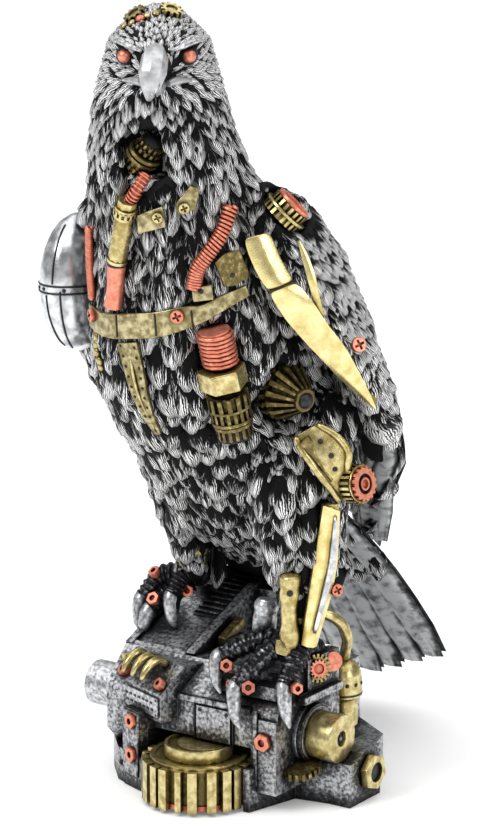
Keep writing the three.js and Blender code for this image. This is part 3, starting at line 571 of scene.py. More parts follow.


# %% [markdown]
# One feather is modelled and then laid many times. It starts as a grid of five by seven points.
# Each row is pulled to the feather's width there, the middle columns are raised into a crown, the two
# long edges are bridged underneath, and the ends are filled, so the feather is a closed shell of few
# faces.

# %% One feather
def model_feather(name, widths, crown):
    bpy.ops.object.select_all(action="DESELECT")
    bpy.ops.mesh.primitive_grid_add(x_subdivisions=ACROSS, y_subdivisions=ALONG, size=2)
    feather = bpy.context.object
    feather.name = name
    mesh = feather.data
    bpy.ops.object.mode_set(mode="EDIT")
    bpy.ops.mesh.select_mode(type="VERT")
    for row, width in enumerate(widths):
        select_where(mesh, lambda co: abs(co.y - (2 * row / ALONG - 1)) < 0.01)
        bpy.ops.transform.resize(value=(width, 1, 1))
    for share in (0.0, 0.5):
        select_where(mesh, lambda co: on_column(co, share, widths) and -0.9 < co.y < 0.99)
        bpy.ops.transform.translate(value=(0, 0, crown * (1 - share)))
    select_where(mesh, lambda co: on_column(co, 1.0, widths))
    bpy.ops.mesh.select_mode(type="EDGE")
    unselect_edges(mesh, lambda a, b: abs(a.y - b.y) < 0.01)
    bpy.ops.mesh.bridge_edge_loops()
    bpy.ops.mesh.select_all(action="DESELECT")
    bpy.ops.mesh.select_non_manifold()
    bpy.ops.mesh.fill()
    bpy.ops.mesh.select_all(action="SELECT")
    bpy.ops.mesh.normals_make_consistent(inside=False)
    bpy.ops.object.mode_set(mode="OBJECT")
    points = np.array([v.co[:] for v in mesh.vertices])
    faces = [list(face.vertices) for face in mesh.polygons]
    bpy.data.objects.remove(feather)
    return points, faces


pointed = model_feather("pointed_feather", [0.5, 0.8, 0.97, 1.0, 0.84, 0.52, 0.06], 0.36)
leaf = model_feather("leaf_feather", [0.55, 0.85, 1.0, 1.0, 0.93, 0.7, 0.2], 0.32)
rounded = model_feather("rounded_feather", [0.7, 0.92, 1.0, 1.0, 0.96, 0.78, 0.3], 0.3)
long_blade = model_feather("long_feather", [0.6, 0.85, 0.95, 1.0, 1.0, 0.96, 0.62], 0.24)
print("feathers of", len(pointed[1]), "faces")

# %% [markdown]
# Where do the feathers go? They are spread over the bed so that no two roots come closer than their size
# asks, as on a real bird, where small feathers crowd on the head and large ones cover the belly. Their
# direction comes from a few simple rules: away from the beak on the head, down on the breast, and down
# and back on the wings. Lengths are in millimetres.

# %% Directions and sizes
HEAD_TURN = math.radians(33)
HEAD_FORWARD = Vector((math.sin(HEAD_TURN), -math.cos(HEAD_TURN), 0))
HEAD_LEFT = Vector((math.cos(HEAD_TURN), math.sin(HEAD_TURN), 0))
HEAD_AXIS = Vector((0, -34.5, 0))


def head(side, forward, z):
    """A point in the turned head's own millimetres, as a point of the frame in metres."""
    place = HEAD_AXIS + HEAD_LEFT * side + HEAD_FORWARD * forward + Vector((0, 0, z))
    return bird(*place)


BEAK_ROOT = head(0, 20, 234)
HEIGHTS = [60, 75, 95, 120, 150, 180, 200, 215, 226, 236, 254]
LENGTHS = [7, 10, 13, 14.5, 14, 12.5, 11, 9.2, 6.2, 3.6, 3.0]
WING_FRONT_Z = [92, 112, 133, 165, 184, 199]
WING_FRONT_Y = [34, 14, -3, -20, -27, -24]
COVERT_Z = [70, 100, 130, 160, 190]
COVERT_LENGTH = [22, 17, 10.5, 7.8, 6.6]


def in_bird(point):
    return point / MM - ORIGIN


def blend_over(value, low, high):
    share = min(max((value - low) / (high - low), 0.0), 1.0)
    return share * share * (3 - 2 * share)


def on_wing(spot):
    """How far a spot belongs to a folded wing, from 0 to 1."""
    edge = 27 - 14 * blend_over(spot.y, 20, 50)
    front = float(np.interp(spot.z, WING_FRONT_Z, WING_FRONT_Y))
    beside = blend_over(abs(spot.x), edge, edge + 6)
    return beside * blend_over(spot.y, front - 4, front + 4) * blend_over(spot.z, 88, 98)


def on_tail(spot):
    return blend_over(spot.y - 0.45 * (80 - spot.z), 40, 52) * (1 - blend_over(spot.z, 84, 96))


def flow(point):
    spot = in_bird(point)
    back = blend_over(spot.y, -10, 30)
    down = Vector((0, 0.15 + 0.4 * back, -1))
    side = 1 if spot.x > 0 else -1
    swept = Vector((-0.25 * side * blend_over(spot.y, 5, 40), 0.55, -0.85))
    down = down.lerp(swept, on_wing(spot))
    down = down.lerp(Vector((0.12 * spot.x / 10, 0.6, -0.8)), on_tail(spot))
    spread = (point - BEAK_ROOT).normalized()
    return down.normalized().lerp(spread, blend_over(spot.z, 216, 232)).normalized()


def feather_length(point):
    spot = in_bird(point)
    plain = float(np.interp(spot.z, HEIGHTS, LENGTHS))
    covert = float(np.interp(spot.z, COVERT_Z, COVERT_LENGTH))
    plain = plain + (covert - plain) * on_wing(spot)
    return plain + (15 - plain) * on_tail(spot)


print("beak root", [round(v, 4) for v in BEAK_ROOT])

# %% [markdown]
# Tens of thousands of random spots are thrown on the bed, and a spot becomes a root only where no earlier
# root is too near. A grid of cells keeps the search short. Bare are the feet, the fittings, the eyes and
# the beak.

# %% Spread the roots
ROOT_SPACING = 0.36
CANDIDATES = 90000
skin = bed.data
skin.calc_loop_triangles()
corner_index = np.array([t.vertices[:] for t in skin.loop_triangles])
corner = np.array([v.co[:] for v in skin.vertices])[corner_index]
area = np.linalg.norm(np.cross(corner[:, 1] - corner[:, 0], corner[:, 2] - corner[:, 0]), axis=1)
dice = np.random.default_rng(11)
chosen = dice.choice(len(area), CANDIDATES, p=area / area.sum())
mix = dice.random((CANDIDATES, 2))
mix[mix.sum(axis=1) > 1] = 1 - mix[mix.sum(axis=1) > 1]
first_edge = corner[chosen, 1] - corner[chosen, 0]
second_edge = corner[chosen, 2] - corner[chosen, 0]
spots = corner[chosen, 0] + mix[:, :1] * first_edge + mix[:, 1:] * second_edge

HIP_BOWL = (bird(34.4, -16.4, 130.6), 11 * MM)
EYE_ROOM = 3.1 * MM
BARE_PLACES = [
    HIP_BOWL,
    (head(0, 25, 235), 5.4 * MM),
    (head(9.4, 17.4, 238.6), EYE_ROOM),
    (head(-9.4, 17.4, 238.6), EYE_ROOM),
]


def takes_feather(point):
    spot = in_bird(point)
    if spot.z < 71 and spot.y < 45:
        return False
    if any((point - middle).length < radius for middle, radius in BARE_PLACES):
        return False
    return clear_of_fittings(point, 0.9 * MM)


CELL = 6 * MM
taken = {}
roots = []
for x, y, z in spots:
    point = Vector((x, y, z))
    length = feather_length(point) * MM
    room = ROOT_SPACING * length
    key = tuple(math.floor(v / CELL) for v in point)
    near = (other for i in (-1, 0, 1) for j in (-1, 0, 1) for k in (-1, 0, 1)
            for other in taken.get((key[0] + i, key[1] + j, key[2] + k), ()))
    if any((point - other).length < room for other in near):
        continue
    if not takes_feather(point):
        continue
    taken.setdefault(key, []).append(point)
    roots.append((point, length))
print("feather roots", len(roots))

# %% [markdown]
# A feather's shaft is walked over the bed from the root in short steps, so it bends with the body. A
# second helper says how many steps it can go before it comes too near to a fitting.

# %% Walk a shaft
SHAFT_STEPS = ALONG
FITTING_ROOM = 0.5 * MM


def walk_shaft(point, normal, length):
    """Places, normals and directions along a shaft."""
    shaft = []
    for step in range(SHAFT_STEPS + 1):
        heading = flow(point)
        heading = (heading - normal * heading.dot(normal)).normalized()
        shaft.append((point.copy(), normal.copy(), heading))
        ahead = point + heading * (length / SHAFT_STEPS)
        found, facing, _, _ = bed_tree.find_nearest(ahead)
        if facing.dot(normal) < 0.1:
            facing = normal
            found = ahead
        normal = normal.lerp(facing, 0.55).normalized()
        point = found if (found - ahead).length < 0.25 * length else ahead
    return shaft


def room_along(shaft, lift):
    for k, (point, normal, _) in enumerate(shaft):
        if k > 1 and not clear_of_fittings(point + normal * lift, FITTING_ROOM):
            return k
    return SHAFT_STEPS + 1


print("shafts of", SHAFT_STEPS, "steps")

# %% [markdown]
# No operator lays thousands of bent copies, so the copies of the feather are written straight into one
# mesh. The cross sections stay stiff. The root sits in the bed and the tip stands off, so each feather
# covers the roots of the next row. The mesh also gets the UV map and the tone that the paint reads.

# %% Write feathers into a mesh
ROOT_SUNK = -0.3


def write_feathers(name, laid, pattern, paint):
    """One mesh from laid feathers, each given as its shaft, half width, swing, tip lift and tone."""
    shape, faces = pattern
    rows = np.clip(np.rint((shape[:, 1] + 1) * ALONG / 2).astype(int), 0, ALONG)
    points = []
    polygons = []
    tones = []
    for shaft, half, swing, lift, tone in laid:
        base = len(points)
        for (u, _, crown), row in zip(shape, rows):
            place, facing, heading = shaft[row]
            side = heading.cross(facing).normalized()
            share = row / ALONG
            height = ROOT_SUNK * MM * (1 - share) + lift * share ** 1.2 + crown * half - 0.1 * half * abs(u)
            points.append(place + side * (u * half + swing * share) + facing * height)
        polygons.extend([base + i for i in face] for face in faces)
        tones.extend([tone] * len(shape))
    mesh = bpy.data.meshes.new(name)
    mesh.from_pydata(points, [], polygons)
    obj = bpy.data.objects.new(name, mesh)
    bpy.context.collection.objects.link(obj)
    row_width = np.array([np.abs(shape[rows == row, 0]).max() for row in range(ALONG + 1)])
    across = 0.5 + 0.5 * shape[:, 0] / np.maximum(row_width[rows], 0.01)
    flat = np.column_stack([across, shape[:, 1] * 0.5 + 0.5])
    loop_vertex = np.empty(len(mesh.loops), dtype=int)
    mesh.loops.foreach_get("vertex_index", loop_vertex)
    every_feather = np.tile(flat, (len(laid), 1))[loop_vertex]
    mesh.uv_layers.new(name="feather").data.foreach_set("uv", every_feather.ravel())
    mesh.attributes.new("tone", "FLOAT", "POINT").data.foreach_set("value", tones)
    finish(obj, paint, ["eagle"])
    print(name, len(laid), "feathers")
    return obj


print("feathers have", len(pointed[0]), "points each")

# %% [markdown]
# Laying a plot of feathers: each root gets a length, a width, a swing to the side and a lift that differ
# a little from its neighbours. Where a fitting is in the way, the feather is laid shorter, or left out if
# too little of it remains. The shafts are remembered, so that bare places can be found later.

# %% Lay a plot
TIP_LIFT = 0.11
SHORTEST_SHARE = 0.45
MOST_BENT = 0.4
LIFT_ON_TEST = 0.6 * MM
covered = []


def lay(name, roots, pattern, width_share, paint, turn=12):
    laid = []
    for root, length in roots:
        _, normal, _, _ = bed_tree.find_nearest(root)
        length *= chance.uniform(0.88, 1.14)
        shaft = walk_shaft(root, normal, length)
        reach = room_along(shaft, LIFT_ON_TEST)
        if reach < SHAFT_STEPS + 1:
            length *= max((reach - 1) / SHAFT_STEPS, SHORTEST_SHARE)
            shaft = walk_shaft(root, normal, length)
            if room_along(shaft, LIFT_ON_TEST) < SHAFT_STEPS:
                continue
        if shaft[-1][1].dot(shaft[0][1]) < MOST_BENT:
            continue
        half = length * width_share * chance.uniform(0.9, 1.1) / 2
        swing = math.tan(math.radians(chance.uniform(-turn, turn))) * length
        lift = TIP_LIFT * length * chance.uniform(0.8, 1.3)
        laid.append((shaft, half, swing, lift, chance.random()))
        covered.extend(place for place, _, _ in shaft[1:])
    return write_feathers(name, laid, pattern, paint)


print("shortest feather has", SHORTEST_SHARE, "of its length")

# %% [markdown]
# The plumage has six plots: head, neck, breast, belly, wings and tail. Each has its own feather shape,
# width and paint. Heights in millimetres divide the body, and the earlier rules say what is wing and
# tail. The wing's lower edge stays free, because its long feathers come later.

# %% Plots of the plumage
HEAD_FROM = 226
NECK_FROM = 203
CHEST_FROM = 158
TAIL_COVERTS_FROM = 60
WING_EDGE_BELOW = 125
plots = {"head": [], "neck": [], "chest": [], "belly": [], "wing": [], "tail": []}


def plot_of(point):
    """The part of the plumage that a root belongs to, or None where no feather grows."""
    spot = in_bird(point)
    if on_tail(spot) > 0.5:
        return "tail" if spot.z > TAIL_COVERTS_FROM else None
    if spot.z > HEAD_FROM:
        return "head"
    if on_wing(spot) > 0.5:
        outward = Vector((math.copysign(0.55, spot.x), 0.62, 0.45)).normalized()
        on_edge = bed_tree.find_nearest(point)[1].dot(outward) < 0.35
        return None if on_edge and spot.z < WING_EDGE_BELOW else "wing"
    if spot.z > NECK_FROM:
        return "neck"
    return "chest" if spot.z > CHEST_FROM else "belly"


for root in roots:
    plot = plot_of(root[0])
    if plot:
        plots[plot].append(root)
lay("head_feathers", plots["head"], pointed, 0.55, head_silver)
lay("neck_feathers", plots["neck"], pointed, 0.6, neck_silver)
lay("chest_feathers", plots["chest"], leaf, 0.6, chest_silver)
lay("belly_feathers", plots["belly"], leaf, 0.68, belly_silver)
lay("wing_feathers", plots["wing"], rounded, 0.74, wing_silver, turn=7)
lay("tail_coverts", plots["tail"], long_blade, 0.5, tail_silver, turn=5)

# %% [markdown]
# Near the fittings the long feathers had no room, and the black bed shows. A second round lays small
# feathers there, wherever the nearest shaft is too far away.

# %% Small feathers in the gaps
FILL_LENGTH = 5.5 * MM
FILL_SPACING = 1.9 * MM
BARE_FROM = 2.5 * MM
shafts = KDTree(len(covered))
for index, point in enumerate(covered):
    shafts.insert(point, index)
shafts.balance()
fill_roots = []
for x, y, z in spots:
    point = Vector((x, y, z))
    if z > HEAD_FROM * MM or shafts.find(point)[2] < BARE_FROM or plot_of(point) in (None, "tail"):
        continue
    if not takes_feather(point) or any((point - other).length < FILL_SPACING for other, _ in fill_roots):
        continue
    fill_roots.append((point, FILL_LENGTH))
lay("gap_feathers", fill_roots, leaf, 0.7, belly_silver)

# %% [markdown]
# Two rows hang free instead of lying on the bed: a fringe over the opening in the throat, and one behind
# the right leg under the belly. They hang straight down from roots on the bed.

# %% Hanging feathers
THROAT_FRINGE = [
    (-0.9, -54.4, 220), (0.6, -54.6, 222.4), (2.2, -54.2, 225), (3.9, -53.6, 227), (5.8, -52.9, 228.4),
    (7.6, -52.5, 228.8), (9.3, -52.2, 228), (10.8, -51, 226.2), (11.9, -50.3, 223.6),
]
BELLY_FRINGE = [
    (-27, 27, 74), (-25, 24, 73), (-22.6, 21, 73), (-20, 18.6, 73), (-16.6, 16.6, 73), (-13, 15, 74),
]


def fringe(name, places, facing, length, paint):
    hanging = []
    for k, place in enumerate(places):
        drop = Vector((0, 0, -(length + 1.4 * (k % 2)) * MM))
        root = bird(*place) + facing * 0.5 * MM
        heading = drop.normalized()
        shaft = [(root + drop * (i / SHAFT_STEPS), facing, heading) for i in range(SHAFT_STEPS + 1)]
        hanging.append((shaft, 0.3 * length * MM, 0.0, 0.9 * MM, chance.random()))
    return write_feathers(name, hanging, leaf, paint)


fringe("throat_fringe", THROAT_FRINGE, Vector((0.2, -0.97, 0)).normalized(), 6.6, neck_silver)
fringe("belly_fringe", BELLY_FRINGE, Vector((-0.3, -0.95, 0)).normalized(), 16, belly_silver)


# %% [markdown]
# Helpers for the clockwork. A rod or hose is a path curve with a round bevel, made a mesh at the end; a
# coil is the same with its path wound round another. Round parts start as cylinders and are shaped in
# edit mode.

# %% Rods and coils
def smooth_path(points, count):
    """Points spaced along a smooth curve through the given ones."""
    points = [Vector(p) for p in points]
    padded = [2 * points[0] - points[1], *points, 2 * points[-1] - points[-2]]
    path = []
    for k in range(count):
        place = k / (count - 1) * (len(points) - 1)
        i = min(int(place), len(points) - 2)
        t = place - i
        a, b, c, d = padded[i:i + 4]
        bend = (2 * a - 5 * b + 4 * c - d) * t ** 2 + (3 * b - 3 * c + d - a) * t ** 3
        path.append(0.5 * (2 * b + (c - a) * t + bend))
    return path


def rod(name, path, radii, sides=12):
    """A round rod along a path, with radii in millimetres spread evenly over its length."""
    bpy.ops.object.select_all(action="DESELECT")
    bpy.ops.curve.primitive_nurbs_path_add()
    obj = bpy.context.object
    obj.name = name
    curve = obj.data
    spline = curve.splines[0]
    spline.type = "POLY"
    spline.points.add(len(path) - len(spline.points))
    shares = np.linspace(0, 1, len(radii))
    for k, place in enumerate(path):
        spline.points[k].co = (*place, 1)
        spline.points[k].radius = float(np.interp(k / (len(path) - 1), shares, radii))
    curve.bevel_depth = MM
    curve.bevel_resolution = max((sides - 4) // 2, 0)
    curve.use_fill_caps = True
    bpy.ops.object.convert(target="MESH")
    bpy.ops.object.mode_set(mode="EDIT")
    bpy.ops.mesh.select_all(action="SELECT")
    bpy.ops.mesh.remove_doubles(threshold=0.001 * MM)
    bpy.ops.mesh.normals_make_consistent(inside=False)
    bpy.ops.object.mode_set(mode="OBJECT")
    return bpy.context.object


def wound(path, radius, turns, per_turn=10):
    """The path of a wire wound round another path, radius in millimetres."""
    line = smooth_path(path, turns * per_turn + 1)
    up = Vector((0.3, 0.5, 0.8))
    coil = []
    for k, place in enumerate(line):
        ahead = line[min(k + 1, len(line) - 1)] - line[max(k - 1, 0)]
        side = ahead.cross(up).normalized()
        rise = side.cross(ahead).normalized()
        angle = 2 * math.pi * k / per_turn
        coil.append(place + (side * math.cos(angle) + rise * math.sin(angle)) * radius * MM)
    return coil


def merge(name, pieces):
    """Join pieces of one finish into one object."""
    bpy.ops.object.select_all(action="DESELECT")
    for piece in pieces:
        piece.select_set(True)
    bpy.context.view_layer.objects.active = pieces[0]
    if len(pieces) > 1:
        bpy.ops.object.join()
    obj = bpy.context.object
    obj.name = name
    return obj


print("rod helpers ready")

# %% [markdown]
# Turned and toothed parts are modelled upright on a local Z axis first and are then put in place. A drum
# is a cylinder between two heights. Faces are picked by their centre and normal, and an end face can be
# inset and pushed in. A bevel catches the light.

# %% Turned parts
def stand(obj, place, axis, spin=0.0):
    """Put a piece that was modelled upright at a place, with its axis along a direction."""
    turn = Vector(axis).to_track_quat("Z", "Y").to_matrix().to_4x4()
    obj.data.transform(Matrix.Translation(place) @ turn @ Matrix.Rotation(spin, 4, "Z"))
    return obj


def drum(name, radius, low, high, sides=32):
    """A cylinder from one height to another, in millimetres, left in edit-ready form."""
    bpy.ops.object.select_all(action="DESELECT")
    middle = (low + high) / 2 * MM
    bpy.ops.mesh.primitive_cylinder_add(vertices=sides, radius=radius * MM, depth=(high - low) * MM)
    obj = bpy.context.object
    obj.name = name
    obj.data.transform(Matrix.Translation((0, 0, middle)))
    obj.location = (0, 0, 0)
    return obj


def pick_faces(obj, test):
    """Enter edit mode with the faces selected whose centre and normal pass the test."""
    only(obj)
    bpy.ops.object.mode_set(mode="EDIT")
    bpy.ops.mesh.select_mode(type="FACE")
    bpy.ops.mesh.select_all(action="DESELECT")
    bpy.ops.object.mode_set(mode="OBJECT")
    for face in obj.data.polygons:
        face.select = bool(test(face.center, face.normal))
    bpy.ops.object.mode_set(mode="EDIT")


def done_editing():
    bpy.ops.object.mode_set(mode="OBJECT")


def sink_cap(obj, rim, depth, top=True):
    """Inset an end face and push it in, or out where the depth is negative; sizes in millimetres."""
    sign = 1 if top else -1
    reach = min(
        (sum((obj.data.vertices[i].co.xy.length for i in face.vertices)) / len(face.vertices), face.index)
        for face in obj.data.polygons
        if sign * face.normal.z > 0.9 and len(face.vertices) > 4
    )[1]
    pick_faces(obj, lambda centre, normal: False)
    done_editing()
    obj.data.polygons[reach].select = True
    bpy.ops.object.mode_set(mode="EDIT")
    bpy.ops.mesh.inset(thickness=rim * MM)
    bpy.ops.mesh.inset(thickness=0.06 * MM)
    bpy.ops.transform.translate(value=(0, 0, -sign * depth * MM))
    done_editing()
    return obj


def soften(obj, width=0.2, segments=2, angle=35):
    limit = math.radians(angle)
    size = width * MM
    apply_modifier(obj, "BEVEL", width=size, segments=segments, limit_method="ANGLE", angle_limit=limit)
    return obj


print("turned parts ready")


# %% [markdown]
# A gear is a drum whose side faces are extruded outwards in runs, so each run becomes a tooth. A nut is a
# drum of six sides with a hole cut by a Boolean.

# %% Gears and nuts
def gear(name, radius, teeth, tooth, low, high, broad=2, pitch=4):
    """A toothed wheel, sizes in millimetres; a tooth takes so many side faces out of each pitch."""
    obj = drum(name, radius - tooth, low, high, teeth * pitch)
    step = 2 * math.pi / (teeth * pitch)

    def on_tooth(centre, normal):
        place = math.floor((math.atan2(centre.y, centre.x) % (2 * math.pi)) / step)
        return abs(normal.z) < 0.1 and place % pitch < broad

    pick_faces(obj, on_tooth)
    bpy.ops.mesh.extrude_region_shrink_fatten(TRANSFORM_OT_shrink_fatten={"value": tooth * MM})
    done_editing()
    return obj


def nut(name, radius, low, high, bore):
    """A six-sided nut with a sunk bore."""
    obj = drum(name, radius, low, high, 6)
    soften(obj, radius * 0.08, 2)
    hole = drum(name + "_bore", bore, high - 0.4 * (high - low), high + 1, 16)
    modifier = obj.modifiers.new("bore", "BOOLEAN")
    modifier.object = hole
    only(obj)
    bpy.ops.object.modifier_apply(modifier="bore")
    bpy.data.objects.remove(hole)
    return obj


print("gears and nuts ready")


# %% [markdown]
# Rivets and screws are the smallest parts. A rivet is a flattened ball, half sunk in what carries it, and
# it also serves as a bead or, in black, as a small hole. A screw head has its cross slot cut by a
# Boolean.

# %% Rivets and screws
def rivet(name, radius, tall, place, axis):
    """A domed rivet head."""
    bpy.ops.object.select_all(action="DESELECT")
    bpy.ops.mesh.primitive_uv_sphere_add(segments=14, ring_count=8, radius=radius * MM)
    obj = bpy.context.object
    obj.name = name
    obj.data.transform(Matrix.Scale(tall / radius, 4, (0, 0, 1)))
    return stand(obj, place, axis)


def screw(name, radius, place, axis, spin=0.4):
    """A round screw head with a cross slot."""
    obj = drum(name, radius, -0.6, 0.55 * radius, 20)
    soften(obj, radius * 0.18, 2)
    for turn in (0, math.pi / 2):
        bpy.ops.object.select_all(action="DESELECT")
        bpy.ops.mesh.primitive_cube_add(size=2)
        slot = bpy.context.object
        slot.data.transform(Matrix.Diagonal((radius * 0.68 * MM, radius * 0.17 * MM, radius * 0.3 * MM, 1)))
        slot.data.transform(Matrix.Translation((0, 0, 0.55 * radius * MM)) @ Matrix.Rotation(turn, 4, "Z"))
        modifier = obj.modifiers.new("slot", "BOOLEAN")
        modifier.object = slot
        only(obj)
        bpy.ops.object.modifier_apply(modifier="slot")
        bpy.data.objects.remove(slot)
    return stand(obj, place, axis, spin)


print("rivets and screws ready")

# %% [markdown]
# The beak is the brightest part of the head: a ridged hook that is narrow between the eyes, fullest half
# way and drawn down to its point. It is a rod whose radius changes along a hooked path. The lower half
# and the line of the gape at each side are small rods of their own, and the nostrils are flattened balls.

# %% Beak
UPPER_BEAK = [
    (0, 15, 239), (0, 20.5, 240.2), (-0.3, 25.2, 238.4), (-0.8, 28.6, 234.8), (-1.4, 29.8, 230.6),
    (-2, 28.4, 226.8),
]
LOWER_BEAK = [(0, 16, 231), (-0.6, 22, 229.6), (-1.2, 26, 228.2)]
upper_path = smooth_path([head(*place) for place in UPPER_BEAK], 26)
beak = rod("beak_upper", upper_path, [1.2, 2.7, 4.1, 4.3, 3.0, 0.8], 8)
soften(beak, 0.5, 2, 20)
lower = rod("beak_lower", smooth_path([head(*place) for place in LOWER_BEAK], 10), [3.6, 2.8, 0.9], 16)
gapes = []
for side in (1, -1):
    gape_path = [head(side * 3.6, 26.4, 231.4), head(side * 6, 22.6, 231.8), head(side * 10, 16.4, 231.2)]
    gapes.append(rod("gape", smooth_path(gape_path, 10), [1.0, 1.3, 0.5], 10))
finish(merge("beak", [beak, lower, *gapes]), "beak_silver", ["eagle"], 45)
nostrils = []
for side in (1, -1):
    outward = HEAD_LEFT * side + HEAD_FORWARD * 0.6
    nostrils.append(rivet("nostril", 0.7, 0.45, head(side * 3.9, 22.4, 239), outward))
finish(merge("nostrils", nostrils), "black_recess", ["eagle"])
print("beak from", [round(v, 3) for v in upper_path[0]])

# %% [markdown]
# The eyes are copper beads in dark sockets. A socket is a flattened black ball round the bead. A slim
# brow over each slopes down to the beak and gives the bird its stern look.

# %% Eyes and brows
EYE = {"side": 9.4, "forward": 17.4, "z": 238.6, "radius": 2.1}
for label, side in (("eye_left", 1), ("eye_right", -1)):
    middle = head(side * EYE["side"], EYE["forward"], EYE["z"])
    look = (HEAD_FORWARD + HEAD_LEFT * (0.3 * side)).normalized()
    bead = rivet(label + "_bead", EYE["radius"], EYE["radius"], middle + look * 0.6 * MM, look)
    finish(bead, "copper_rose", [label])
    socket = rivet(label + "_socket", EYE["radius"] + 0.9, 1.7, middle - look * 0.2 * MM, look)
    finish(socket, "black_recess", ["eagle"])
brows = []
BROW = [(4, 22.4, 240.4), (8, 20.6, 241.8), (11.4, 16.8, 242.8), (13.4, 12, 242.4)]
for side in (1, -1):
    brow_path = [head(side * across, forward, z) for across, forward, z in BROW]
    brows.append(rod("brow", smooth_path(brow_path, 16), [0.4, 0.9, 0.8, 0.2], 10))
finish(merge("brow_ridges", brows), "edge_silver", ["eagle"])
print("eyes and brows")

# %% [markdown]
# The tail is a fan of seven long feathers. Each has two faces of its own, one above and one below,
# because the camera sees the fan's underside. They use the long feather shape along a straight path from
# root to tip.

# %% Tail fan
TAIL_FACE = Vector((0, 0.8, 0.6))
TAIL_STEP = 1.35 * MM
TAIL_HALF = 7.4 * MM
fan = []
for k in range(-3, 4):
    out = abs(k)
    root = bird(k * 5.2, 34, 88 - out)
    middle = bird(k * 7.0, 61.5 - 0.6 * out, 53.5 + 1.3 * out)
    tip = bird(k * 9.0, 90 - 1.2 * out, 12 + 3.6 * out)
    line = smooth_path([root, middle, tip], SHAFT_STEPS + 1)
    heading = (line[-1] - line[0]).normalized()
    for facing in (TAIL_FACE, -TAIL_FACE):
        level = facing * (TAIL_STEP + 0.25 * MM * (k % 2))
        shaft = [(point + level, facing, heading) for point in line]
        fan.append((shaft, TAIL_HALF, 0.0, 0.0, chance.random()))
write_feathers("tail_feathers", fan, long_blade, "quill_grey")

# %% [markdown]
# The folded wings end in long primaries that draw together to a point behind the legs. They follow the
# wing's own line on its outer face.

# %% Primaries
WING_LINE = [(40, 20, 127), (33.5, 31, 112), (21, 46, 92), (12, 66, 65)]
WING_WIDE = [19.5, 19, 13, 4]
WING_THICK = [8, 7, 5, 2]
WING_OUT = [(0.68, 0.48, 0.45), (0.58, 0.6, 0.45), (0.48, 0.72, 0.45), (0.4, 0.8, 0.45)]
PRIMARIES = 6
PRIMARY_SPREAD = 0.72
PRIMARY_HALF = 3.6 * MM
PRIMARY_LIFT = 0.7
primaries = []
for side in (1, -1):
    run = Vector((-0.35 * side, 0.56, -0.75))
    faces_out = [Vector((x * side, y, z)).normalized() for x, y, z in WING_OUT]
    for k in range(PRIMARIES):
        share = PRIMARY_SPREAD * (2 * k / (PRIMARIES - 1) - 1)
        bulge = math.sqrt(1 - share * share)
        line = []
        for (x, y, z), wide, thick, out in zip(WING_LINE, WING_WIDE, WING_THICK, faces_out):
            across = out.cross(run).normalized() * share * wide
            rise = out * (thick * bulge + PRIMARY_LIFT + 0.3 * (k % 2))
            line.append(bird(x * side, y, z) + (rise + across) * MM)
        path = smooth_path(line, SHAFT_STEPS + 1)
        shaft = []
        for i, point in enumerate(path):
            place = i / SHAFT_STEPS * (len(faces_out) - 1)
            low = min(int(place), len(faces_out) - 2)
            out = faces_out[low].lerp(faces_out[low + 1], place - low).normalized()
            ahead = path[min(i + 1, SHAFT_STEPS)] - path[max(i - 1, 0)]
            shaft.append((point, out, ahead.normalized()))
        primaries.append((shaft, PRIMARY_HALF, 0.0, 0.0, chance.random()))
write_feathers("primaries", primaries, long_blade, "quill_grey")

# %% [markdown]
# From the front the wing tips show their inner side. Long feathers lie there too, between the wing's
# front edge and the body, from under the elbow down to the tip.

# %% Inner side of the wing tips
INNER_EDGE = [(36, 14, 125), (31, 27.5, 107.5), (29.5, 32.5, 98.5), (25, 42.5, 88), (15, 61, 68)]
OUTER_EDGE = [(54.5, 6, 128), (51.5, 17, 112), (43.4, 26.3, 101.3), (36, 39, 90), (21, 62, 68)]
INNER_FACE = (0.12, -0.78, -0.6)
INNER_FEATHERS = 6
inner_feathers = []
for side in (1, -1):
    facing = Vector((INNER_FACE[0] * side, *INNER_FACE[1:])).normalized()
    for k in range(INNER_FEATHERS):
        share = 0.06 + 0.88 * k / (INNER_FEATHERS - 1)
        line = []
        for near, far in zip(INNER_EDGE, OUTER_EDGE):
            x, y, z = Vector(near).lerp(Vector(far), share)
            line.append(bird(x * side, y, z) + facing * (0.8 + 0.3 * (k % 2)) * MM)
        path = smooth_path(line, SHAFT_STEPS + 1)
        heading = (path[-1] - path[0]).normalized()
        shaft = [(point, facing, heading) for point in path]
        inner_feathers.append((shaft, PRIMARY_HALF, 0.0, 0.0, chance.random()))
write_feathers("inner_primaries", inner_feathers, long_blade, "quill_grey")

# %% [markdown]
# The fittings come next. A place on the torso is an angle round the bird's axis and a height: a ray goes
# in from outside at that angle, and where it meets the bed or a fitting, a screw or hose can sit. Straps,
# plates and blades keep their CAD form: a copy gets its flat faces joined and its edges bevelled, so they
# catch the light.

# %% Places and copies
TORSO_Z = [81, 101, 128, 148.5, 177.5, 196, 213.5, 232, 246]
TORSO_Y = [17, 9.5, -3.5, -10.5, -17, -27.5, -33.5, -34.5, -34.5]
TORSO_WIDE = [24, 30, 36, 34.5, 31.5, 26, 22, 18.2, 13.2]
TORSO_DEEP = [22, 30, 38, 36.5, 32.5, 26.5, 23, 19, 14]
RAY_START = 20 * MM


